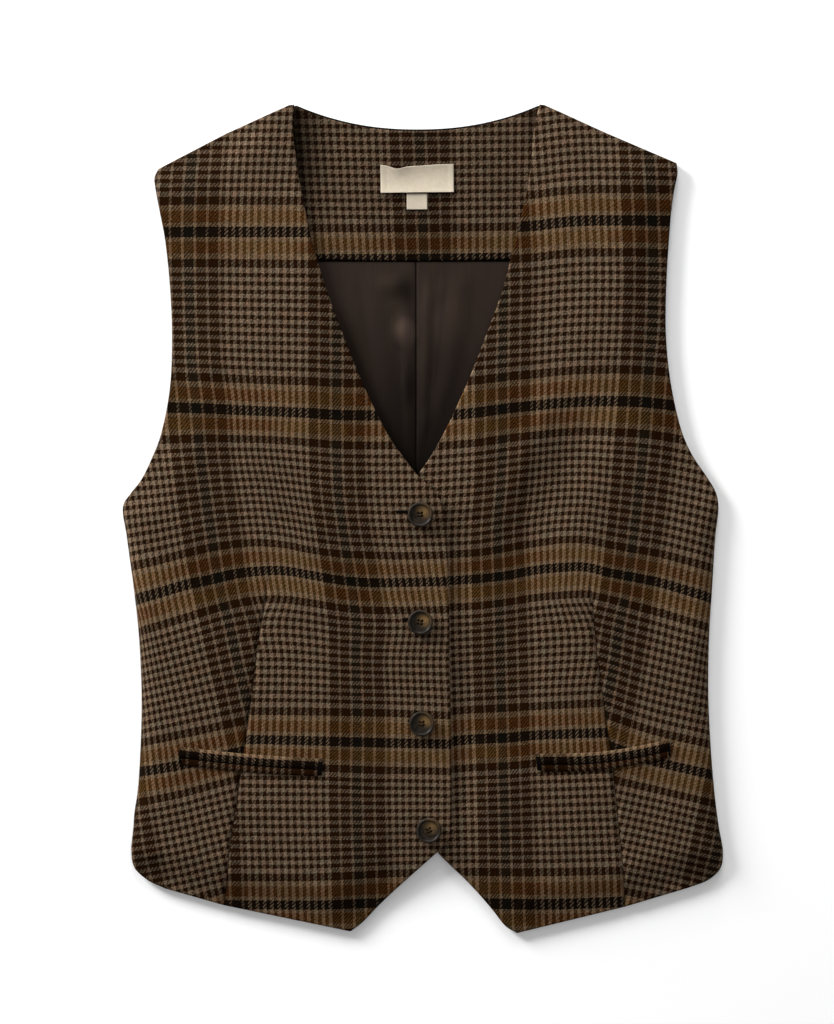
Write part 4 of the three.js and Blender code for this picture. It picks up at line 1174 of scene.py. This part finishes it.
def build_back():
    last = right_front.last
    top_left, top_right = (back_side(front, np.array([last]))[0] for front in (right_front, left_front))
    width = top_right[0] - top_left[0]
    shares = spread(BACK_GRID["columns"], width)
    x = mix(top_left[0], top_right[0], shares)
    inset = BACK_INSET["laid"]
    neck_left = np.array((NECK["left_x"], NECK["point_y"] - inset))
    neck_right = np.array((NECK["right_x"], NECK["point_y"] - inset))
    top = np.where(x < neck_left[0], np.interp(x, [top_left[0], neck_left[0]], [top_left[1], neck_left[1]]),
                   np.interp(x, [neck_right[0], top_right[0]], [neck_right[1], top_right[1]]))
    top = np.where((x >= neck_left[0]) & (x <= neck_right[0]), neck_line(x) - inset, top)
    rises = top - mix(top_left[1], top_right[1], shares)
    places = mix(BACK_HEM_SECTION, last, spread(BACK_GRID["rows"], BACK_GRID["length"]))
    left, right = back_side(right_front, places), back_side(left_front, places)
    plan = mix(left[:, None], right[:, None], shares[None, :, None])
    foot = fall(places - BACK_HEM_SECTION)[:, None]
    hem = mix(BACK_HEM["side_y"], BACK_HEM["middle_y"], np.sin(np.pi * shares))[None, :]
    straight = mix(left[:1, 1], right[:1, 1], shares)[None, :]
    plan[..., 1] += foot * (hem - straight)
    upward = np.maximum(0, (places - UNDERARM_SECTION) / (last - UNDERARM_SECTION))[:, None]
    plan[..., 1] += rises[None, :] * upward ** NECK_RISE_POWER
    outer, inner = rounded_wall(plan, 0, BACK_WALL, BACK_EDGE_RADIUS)
    inner[..., 2] = 0
    off_seam = plan[..., 0] - LINING_SEAM_X
    outer[..., 2] -= BACK_SEAM["depth"] * fall(np.abs(off_seam) / BACK_SEAM["half_width"])
    threads = np.dstack([
        BACK_THREADS["warp"] + off_seam / THREAD_PITCH,
        plan[..., 1] / BACK_THREADS["pitch"] + BACK_THREADS["weft"],
    ])
    # The back's top and edges take the painted shade twill, which shows as a dark line of painted shade at
    # the neck; its underside takes the check
    return shell("back_cloth", outer, inner, [threads], [PAINTED_SHADE_TWILL, CHECK], "back")


def build_facing():
    up = spread(FACING_GRID["rows"], FACING_GRID["height"])[:, None]
    shares = spread(FACING_GRID["columns"], FACING_GRID["width"])[None, :]
    foot_x = mix(FACING["foot_left"], FACING["foot_right"], shares)
    top_x = mix(FACING["top_left"], FACING["top_right"], shares)
    outside = np.maximum.reduce([NECK["left_x"] - top_x, top_x - NECK["right_x"], 0 * top_x])
    top_y = np.where(outside > 0, NECK["point_y"] - outside * SHOULDER_SLOPE, neck_line(top_x))
    foot_y = FACING["foot_y"] - FACING["sag"] * np.sin(np.pi * shares)
    plan = np.dstack([mix(foot_x, top_x, up), mix(foot_y, top_y - BACK_INSET["laid"] - NECK_REVEAL, up)])
    outer, inner = rounded_wall(plan, FIRST_LAYER, FACING_WALL, FACING_EDGE_RADIUS)
    ripple = FACING_RIPPLE["height"] * np.sin(plan[..., 0] / FACING_RIPPLE["length"])
    outer[..., 2] += np.maximum(ripple * np.sin(np.pi * up) ** 2, FACING_RIPPLE["lowest"])
    at_px = to_px(plan.reshape(-1, 2))
    threads = np.column_stack([warp_at(FACING_WARP, at_px), weft_at(FACING_WEFT, FACING_WEFT_THREADS, at_px)])
    threads = threads.reshape(*plan.shape)
    return shell("back_facing_cloth", outer, inner, [threads], [SHADED_FACING_CHECK], "back_facing")


def lining_lift(at, left_x, right_x):
    """Height of the lining's folds, which die out under the fronts and at both ends."""
    foot_y, top_y = LINING_ROWS["y"][0], LINING_ROWS["y"][-1]
    x, y = at[..., 0], at[..., 1]
    up = (y - foot_y) / (top_y - foot_y)
    sides = 1 - fall((np.minimum(x - left_x, right_x - x) - FOLD_FADE["from_side"]) / FOLD_FADE["side"])
    ends = 1 - fall(np.minimum(up / FOLD_FADE["foot"], (1 - up) / FOLD_FADE["top"]))
    lift = np.zeros(x.shape)
    for i in range(len(LINING_FOLDS["height"])):
        crest = mix(LINING_FOLDS["foot_x"][i], LINING_FOLDS["top_x"][i], up)
        fold = LINING_FOLDS["height"][i] * fall(np.abs(x - crest) / LINING_FOLDS["width"][i])
        lift = np.maximum(lift, fold)
    for i in range(len(LINING_LUMPS["height"])):
        reach = np.hypot((x - LINING_LUMPS["x"][i]) / LINING_LUMPS["radius_x"][i],
                         (y - LINING_LUMPS["y"][i]) / LINING_LUMPS["radius_y"][i])
        lift = lift + LINING_LUMPS["height"][i] * fall(reach)
    return lift * sides * ends


def build_lining(name, node, side):
    ups = spread(LINING_GRID["rows"], LINING_GRID["height"])
    rows = mix(LINING_ROWS["y"][0], LINING_ROWS["y"][-1], ups)
    left_x = np.interp(rows, LINING_ROWS["y"], LINING_ROWS["left_x"])[:, None]
    right_x = np.interp(rows, LINING_ROWS["y"], LINING_ROWS["right_x"])[:, None]
    seam = LINING_SEAM_X + side * LINING_SEAM["half_gap"]
    shares = spread(LINING_GRID["columns"], LINING_GRID["width"])[None, :]
    x = mix(left_x, seam, shares) if side < 0 else mix(seam, right_x, shares)
    plan = np.dstack([x, np.broadcast_to(rows[:, None], x.shape)])
    outer, inner = rounded_wall(plan, FIRST_LAYER, LINING_WALL, LINING_EDGE_RADIUS)
    lift = lining_lift(plan, left_x, right_x)
    tuck = LINING_SEAM["tuck"] * fall(np.abs(x - seam) / LINING_SEAM["half_width"])
    outer[..., 2] += np.maximum(lift - tuck, LINING_SEAM["lowest"])
    inner[..., 2] += np.maximum(lift - tuck, 0)
    return shell(name, outer, inner, [plan], [SATIN], node)


def bell(x, height, centre, width):
    return height * np.exp(-((x - centre) / width) ** 2)


def build_label(name, node, label, wavy):
    """A tape label on the facing. A wavy one stands off it a little along its upper edge."""
    shares = spread(LABEL_GRID["columns"], label["width"], LABEL_GRID["edge"])
    ups = spread(LABEL_GRID["rows"], label["height"], LABEL_GRID["edge"])
    across = (shares[None, :] - 0.5) * label["width"] + 0 * ups[:, None]
    up = (ups[:, None] - 0.5) * label["height"] + 0 * shares[None, :]
    high = ups[:, None] ** LABEL_RISE_POWER
    dip = wavy * sum(bell(across, *one) for one in LABEL_DIPS) * high
    turn = math.radians(label["turn"])
    plan = np.dstack([
        label["x"] + across * math.cos(turn) - (up - dip) * math.sin(turn),
        label["y"] + across * math.sin(turn) + (up - dip) * math.cos(turn),
    ])
    low = FIRST_LAYER + FACING_WALL + SEAM_GAP
    outer, inner = rounded_wall(plan, low, LABEL_WALL, LABEL_EDGE_RADIUS)
    bow = LABEL_BOW * (ups[:, None] - 0.5) ** 2 * 4
    lift = wavy * (bell(across, *LABEL_LIFT) * high + bow)
    ends = label["width"] / 2 - np.abs(across)
    turned_in = LABEL_TURNED["height"] * fall((ends - LABEL_TURNED["width"]) / LABEL_TURNED["fade"])
    row = bell(ends, LABEL_STITCH["depth"], LABEL_STITCH["in"], LABEL_STITCH["width"])
    stitched = row * (0.5 + 0.5 * np.cos(up / LABEL_STITCH["pitch"] * 2 * math.pi))
    outer[..., 2] += lift + wavy * (turned_in - stitched)
    inner[..., 2] += lift
    threads = np.dstack([across, up])
    return shell(name, outer, inner, [threads], [TAPE], node)


back = build_back()
facing = build_facing()
lining_left = build_lining("lining_left_satin", "lining_left", 1)
lining_right = build_lining("lining_right_satin", "lining_right", -1)
label_main = build_label("label_main_tape", "label_main", MAIN_LABEL, 1)
label_size = build_label("label_size_tape", "label_size", SIZE_LABEL, 0)


# Pocket welts and their end bars
def pocket_line(pocket, share, offset):
    """Plan positions along a pocket's mouth, offset up from it."""
    inner, outer = np.array(pocket["inner"]), np.array(pocket["outer"])
    run = outer - inner
    along = run / np.hypot(*run)
    up = np.array((-along[1], along[0])) * (1 if along[0] > 0 else -1)
    sag = pocket["bow"] * np.sin(np.pi * share)
    return inner + run * share[..., None] + up * (offset - sag)[..., None]


def build_welt(side_name, welt_name):
    pocket, welt = POCKETS[side_name], WELTS[welt_name]
    length = math.dist(pocket["inner"], pocket["outer"])
    shares = spread(WELT_GRID["columns"], length, WELT_GRID["end"])
    share = mix(welt["short"], length - welt["short"], shares)[:, None] / length
    across = spread(WELT_GRID["rows"], welt["width"], WELT_GRID["edge"])[None, :]
    offset = welt["side"] * (MOUTH_GAP / 2 + welt["width"] * across)
    plan = pocket_line(pocket, share + 0 * across, offset + 0 * share)
    low = surface(FRONTS[side_name], plan) + WELT_GAP
    end = fall(np.minimum(share, 1 - share) * length / WELT_END["length"])
    rounded = np.sin(np.pi * np.clip(across, 0.001, 0.999)) ** WELT_ROUNDNESS
    high = WELT_LOWEST + (welt["height"] - WELT_LOWEST) * rounded * (1 - end * WELT_END["drop"])
    outer, inner = np.dstack([plan, low + high]), np.dstack([plan, low])
    along = (share + 0 * across) * length / THREAD_PITCH
    first, span = WELT_WEFT[welt_name]
    threads = np.dstack([along + WELT_WARP, first + span * across + 0 * share])
    run = pocket["outer"][0] - pocket["inner"][0]
    faces_up = (run < 0) == (welt["side"] > 0)
    name = f"welt_{side_name}_{welt_name}"
    return shell(name + "_cloth", outer, inner, [threads], [CHECK], name, None, faces_up)


def build_mouth(side_name):
    """A dark strip between a pocket's welts: painted shade for its inside."""
    pocket = POCKETS[side_name]
    share = spread(40, 100, 1)[:, None]
    across = np.linspace(-MOUTH["half_width"], MOUTH["half_width"], 5)[None, :]
    plan = pocket_line(pocket, share + 0 * across, across + 0 * share)
    low = surface(FRONTS[side_name], plan)
    outer, inner = np.dstack([plan, low + MOUTH["over"]]), np.dstack([plan, low - MOUTH["under"]])
    threads = np.dstack([share * 140 + 0 * across, across + 0 * share])
    faces_up = pocket["outer"][0] > pocket["inner"][0]
    name = f"pocket_mouth_{side_name}"
    return shell(name, outer, inner, [threads], [PAINTED_SHADE_TWILL], None, None, faces_up)


def tubes(name, lines, radius, material, sides=6):
    """Round threads along several lines of points, in one piece."""
    points, faces = [], []
    for line in lines:
        line = np.asarray(line, float)
        run = np.gradient(line, axis=0)
        run /= np.linalg.norm(run, axis=1)[:, None]
        side = np.cross(run, (0, 0, 1.0))
        short = np.linalg.norm(side, axis=1) < 1e-6
        side[short] = (1, 0, 0)
        side /= np.linalg.norm(side, axis=1)[:, None]
        above = np.cross(side, run)
        base = len(points)
        for turn in range(len(line)):
            for corner in range(sides):
                angle = 2 * math.pi * corner / sides
                outward = math.cos(angle) * side[turn] + math.sin(angle) * above[turn]
                points.append(line[turn] + radius * outward)
        for turn in range(len(line) - 1):
            for corner in range(sides):
                a = base + turn * sides + corner
                b = base + turn * sides + (corner + 1) % sides
                faces.append((a, b, b + sides, a + sides))
        faces.append(tuple(base + corner for corner in reversed(range(sides))))
        top = base + (len(line) - 1) * sides
        faces.append(tuple(top + corner for corner in range(sides)))
    return add_mesh(name, points, faces, [material])


def build_bars(side_name):
    """Close stitches across each end of a pocket."""
    pocket = POCKETS[side_name]
    length = math.dist(pocket["inner"], pocket["outer"])
    (inner_end, inner_count), (outer_end, outer_count) = BAR_ENDS
    arch = BAR["arch"] * np.sin(np.pi * np.linspace(0, 1, BAR_POINTS)) ** 0.5
    lines = []
    for end, count in ((inner_end, inner_count), (length - outer_end, outer_count)):
        for step in range(count):
            share = np.full(BAR_POINTS, (end + (step - count // 2) * BAR["step"]) / length)
            plan = pocket_line(pocket, share, np.linspace(BAR["foot"], BAR["top"], BAR_POINTS))
            lines.append(np.column_stack([plan, surface(FRONTS[side_name], plan) + BAR["lift"] + arch]))
    return tubes(f"pocket_bars_{side_name}", lines, BAR["radius"], BLACK_THREAD)


for side_name in POCKETS:
    build_welt(side_name, "upper")
    build_welt(side_name, "lower")
    build_mouth(side_name)
    build_bars(side_name)


# Buttons, their threads and the buttonholes
BUTTON_PROFILE = (
    (0, 0), (5.8, 0), (6.9, 0.12), (8.2, 0.5), (8.9, 1.0), (9.3, 1.7), (9.4, 2.3), (9.32, 2.8), (9.1, 3.2),
    (8.75, 3.5), (8.3, 3.6), (7.9, 3.5), (7.55, 3.2), (7.2, 2.85), (6.8, 2.6), (6.2, 2.48), (5, 2.32),
    (3.4, 2.2), (1.7, 2.12), (0, 2.1),
)
BUTTON_SIDES = 72


def button_seat(x, y):
    angles = np.radians(np.arange(0, 360, 45))
    ring = np.column_stack([x + BUTTON_RADIUS * np.cos(angles), y + BUTTON_RADIUS * np.sin(angles)])
    return surface(right_front, ring).max() + SEAM_GAP


def hole_centres(x, y, turn):
    angle = math.radians(turn)
    centres = []
    for across in (-0.5, 0.5):
        for up in (-0.5, 0.5):
            dx, dy = across * BUTTON_HOLE["apart_x"], up * BUTTON_HOLE["apart_y"]
            centres.append((x + dx * math.cos(angle) - dy * math.sin(angle),
                            y + dx * math.sin(angle) + dy * math.cos(angle)))
    return centres


def lathe(profile, sides, centre, base):
    """Points and faces of a turned form with its poles on the axis."""
    points = [(centre[0], centre[1], base + profile[0][1])]
    for radius, height in profile[1:-1]:
        for side in range(sides):
            angle = 2 * math.pi * side / sides
            x, y = centre[0] + radius * math.cos(angle), centre[1] + radius * math.sin(angle)
            points.append((x, y, base + height))
    points.append((centre[0], centre[1], base + profile[-1][1]))
    rings = len(profile) - 2
    faces = [(0, 1 + (side + 1) % sides, 1 + side) for side in range(sides)]
    for ring in range(rings - 1):
        low, high = 1 + ring * sides, 1 + (ring + 1) * sides
        for side in range(sides):
            after = (side + 1) % sides
            faces.append((low + side, low + after, high + after, high + side))
    last = 1 + (rings - 1) * sides
    top = len(points) - 1
    faces += [(last + side, last + (side + 1) % sides, top) for side in range(sides)]
    return points, faces


def build_button(number, x, y, turn):
    seat = button_seat(x, y)
    points, faces = lathe(BUTTON_PROFILE, BUTTON_SIDES, (x, y), seat)
    button = add_mesh(f"button_{number}_horn", points, faces, [HORN], f"button_{number}")
    drill_points, drill_faces = [], []
    for hole_x, hole_y in hole_centres(x, y, turn):
        form = [(BUTTON_HOLE["radius"] * share, height) for share, height in DRILL_FORM]
        more, more_faces = lathe(form, 20, (hole_x, hole_y), seat)
        start = len(drill_points)
        drill_points += more
        drill_faces += [tuple(index + start for index in face) for face in more_faces]
    drill = add_mesh(f"drill_{number}", drill_points, drill_faces, [HORN])
    cut = button.modifiers.new("holes", "BOOLEAN")
    cut.object = drill
    cut.operation = "DIFFERENCE"
    cut.solver = "EXACT"
    graph = bpy.context.evaluated_depsgraph_get()
    made = bpy.data.meshes.new_from_object(button.evaluated_get(graph))
    button.modifiers.clear()
    button.data = made
    bpy.data.objects.remove(drill)
    made.polygons.foreach_set("use_smooth", [True] * len(made.polygons))
    angle = math.radians(turn)
    centre = (np.array((x, y)) + SHIFT[:2]) / 1000
    layer = made.uv_layers.new(name="Disc")
    for loop in made.loops:
        place = made.vertices[loop.vertex_index].co
        dx, dy = ((at - mid) * 1000 / BUTTON_RADIUS for at, mid in zip(place[:2], centre))
        layer.data[loop.index].uv = (
            dx * math.cos(angle) + dy * math.sin(angle), dy * math.cos(angle) - dx * math.sin(angle),
        )
    sharp = made.attributes.new("sharp_edge", "BOOLEAN", "EDGE")
    sharp.data.foreach_set("value", [False] * len(made.edges))
    return button


def build_button_thread(number, x, y, turn):
    """Two pairs of thread across a button's holes, and its shank down to the cloth."""
    seat = button_seat(x, y)
    centres = hole_centres(x, y, turn)
    lines = []
    for start, end in ((centres[0], centres[2]), (centres[1], centres[3])):
        for strand in (-STRAND["apart"], STRAND["apart"]):
            share = np.linspace(0, 1, 11)
            line = mix(np.array(start), np.array(end), share[:, None])
            line[:, 1] += strand
            height = seat + STRAND["foot"] + STRAND["arch"] * np.sin(np.pi * share) ** STRAND["power"]
            lines.append(np.column_stack([line, height]))
    for centre in centres:
        height = np.linspace(seat - SEAM_GAP - STRAND["sunk"], seat + STRAND["top"], 5)
        lines.append(np.column_stack([np.full(5, centre[0]), np.full(5, centre[1]), height]))
    return tubes(f"button_thread_{number}", lines, STRAND["radius"], BUTTON_THREAD)


def stitch(start, direction):
    """One stitch from a slit out over the cloth."""
    out = np.linspace(STITCH["from"], STITCH["to"], 5)[:, None]
    plan = np.array(start) + out * np.array(direction)
    arch = STITCH["arch"] * np.sin(np.pi * np.linspace(0.05, 1, 5)) - STITCH["sink"]
    return np.column_stack([plan, surface(right_front, plan) + arch])


def build_buttonhole(number, x, y):
    """Close stitches round a slit that runs out to the left from under the button."""
    left, right, rise = x - SLIT_LENGTHS[number - 1], x + SLIT["right"], y + SLIT_RISE
    steps = int((right - left) / STITCH["step"])
    starts = [(left + step * STITCH["step"], rise) for step in range(steps)]
    lines = [stitch(start, (0, side)) for side in (-1, 1) for start in starts]
    turns = np.radians(np.arange(110, 251, 20))
    lines += [stitch((left, rise), (math.cos(turn), math.sin(turn))) for turn in turns]
    return tubes(f"buttonhole_{number}", lines, STITCH["radius"], BUTTONHOLE_THREAD)


def build_slit(number, x, y):
    """A dark tube along a buttonhole's slit: painted shade in the slit."""
    along = np.linspace(x - SLIT_LENGTHS[number - 1] - SLIT["past"], x + SLIT["right"], 24)
    plan = np.column_stack([along, np.full(24, y + SLIT_RISE)])
    line = np.column_stack([plan, surface(right_front, plan) + SLIT["lift"]])
    return tubes(f"slit_{number}", [line], SLIT["radius"], PAINTED_SHADE_SLIT)


BUTTONHOLE_THREAD = thread_material("buttonhole thread", colour(24, 16, 10))
# Near-black thread material for the slits: painted shade
PAINTED_SHADE_SLIT = thread_material("slit painted shade", colour(5, 4, 3))
button_pieces = []
for number, (x, y, turn) in enumerate(BUTTONS, 1):
    build_button(number, x, y, turn)
    button_pieces += [
        build_button_thread(number, x, y, turn), build_buttonhole(number, x, y), build_slit(number, x, y),
    ]


# Floor, light and camera
def build_floor():
    mesh = bpy.data.meshes.new("floor")
    half, level = 6.0, -0.0004
    corners = [(x * half, y * half, level) for x, y in ((-1, -1), (1, -1), (1, 1), (-1, 1))]
    mesh.from_pydata(corners, [], [(0, 1, 2, 3)])
    mesh.materials.append(pale_floor())
    floor = bpy.data.objects.new("floor", mesh)
    bpy.context.scene.collection.objects.link(floor)


def add_area(name, place, size, power):
    """A round lamp that points at the middle of the part."""
    light = bpy.data.lights.new(name, "AREA")
    light.shape = "DISK"
    light.size = size
    light.energy = power
    lamp = bpy.data.objects.new(name, light)
    lamp.location = place
    lamp.rotation_euler = (-Vector(place)).to_track_quat("-Z", "Y").to_euler()
    bpy.context.scene.collection.objects.link(lamp)


# Daylight from all sides
DAYLIGHT = 0.345

build_floor()
add_area("window", (-1.95, 1.6, 0.67), 0.95, 158)
add_area("second window", (0.1, 2.5, 0.82), 1.5, 64)
add_area("bounce", (1.2, -1.2, 2.2), 1.6, 9)
world = bpy.data.worlds.new("studio")
world.use_nodes = True
backdrop = world.node_tree.nodes["Background"].inputs
backdrop["Color"].default_value = (1, 1, 1, 1)
backdrop["Strength"].default_value = DAYLIGHT
bpy.context.scene.world = world
bpy.context.scene.view_settings.view_transform = "Standard"

# The camera looks straight down. The picture's scale holds at the garment's middle height.
LENS = 100
SENSOR = 36
GARMENT_HEIGHT = 0.005
camera_data = bpy.data.cameras.new("camera")
camera_data.lens = LENS
camera_data.sensor_width = SENSOR
camera = bpy.data.objects.new("camera", camera_data)
centre_x = (PICTURE_CENTRE_PX[0] - MIDDLE_PX[0]) * PIXEL + SHIFT[0]
centre_y = (MIDDLE_PX[1] - PICTURE_CENTRE_PX[1]) * PIXEL + SHIFT[1]
distance = PICTURE_HEIGHT_PX * PIXEL / 1000 * LENS / SENSOR
camera.location = (centre_x / 1000, centre_y / 1000, GARMENT_HEIGHT + distance)
bpy.context.scene.collection.objects.link(camera)
bpy.context.scene.camera = camera
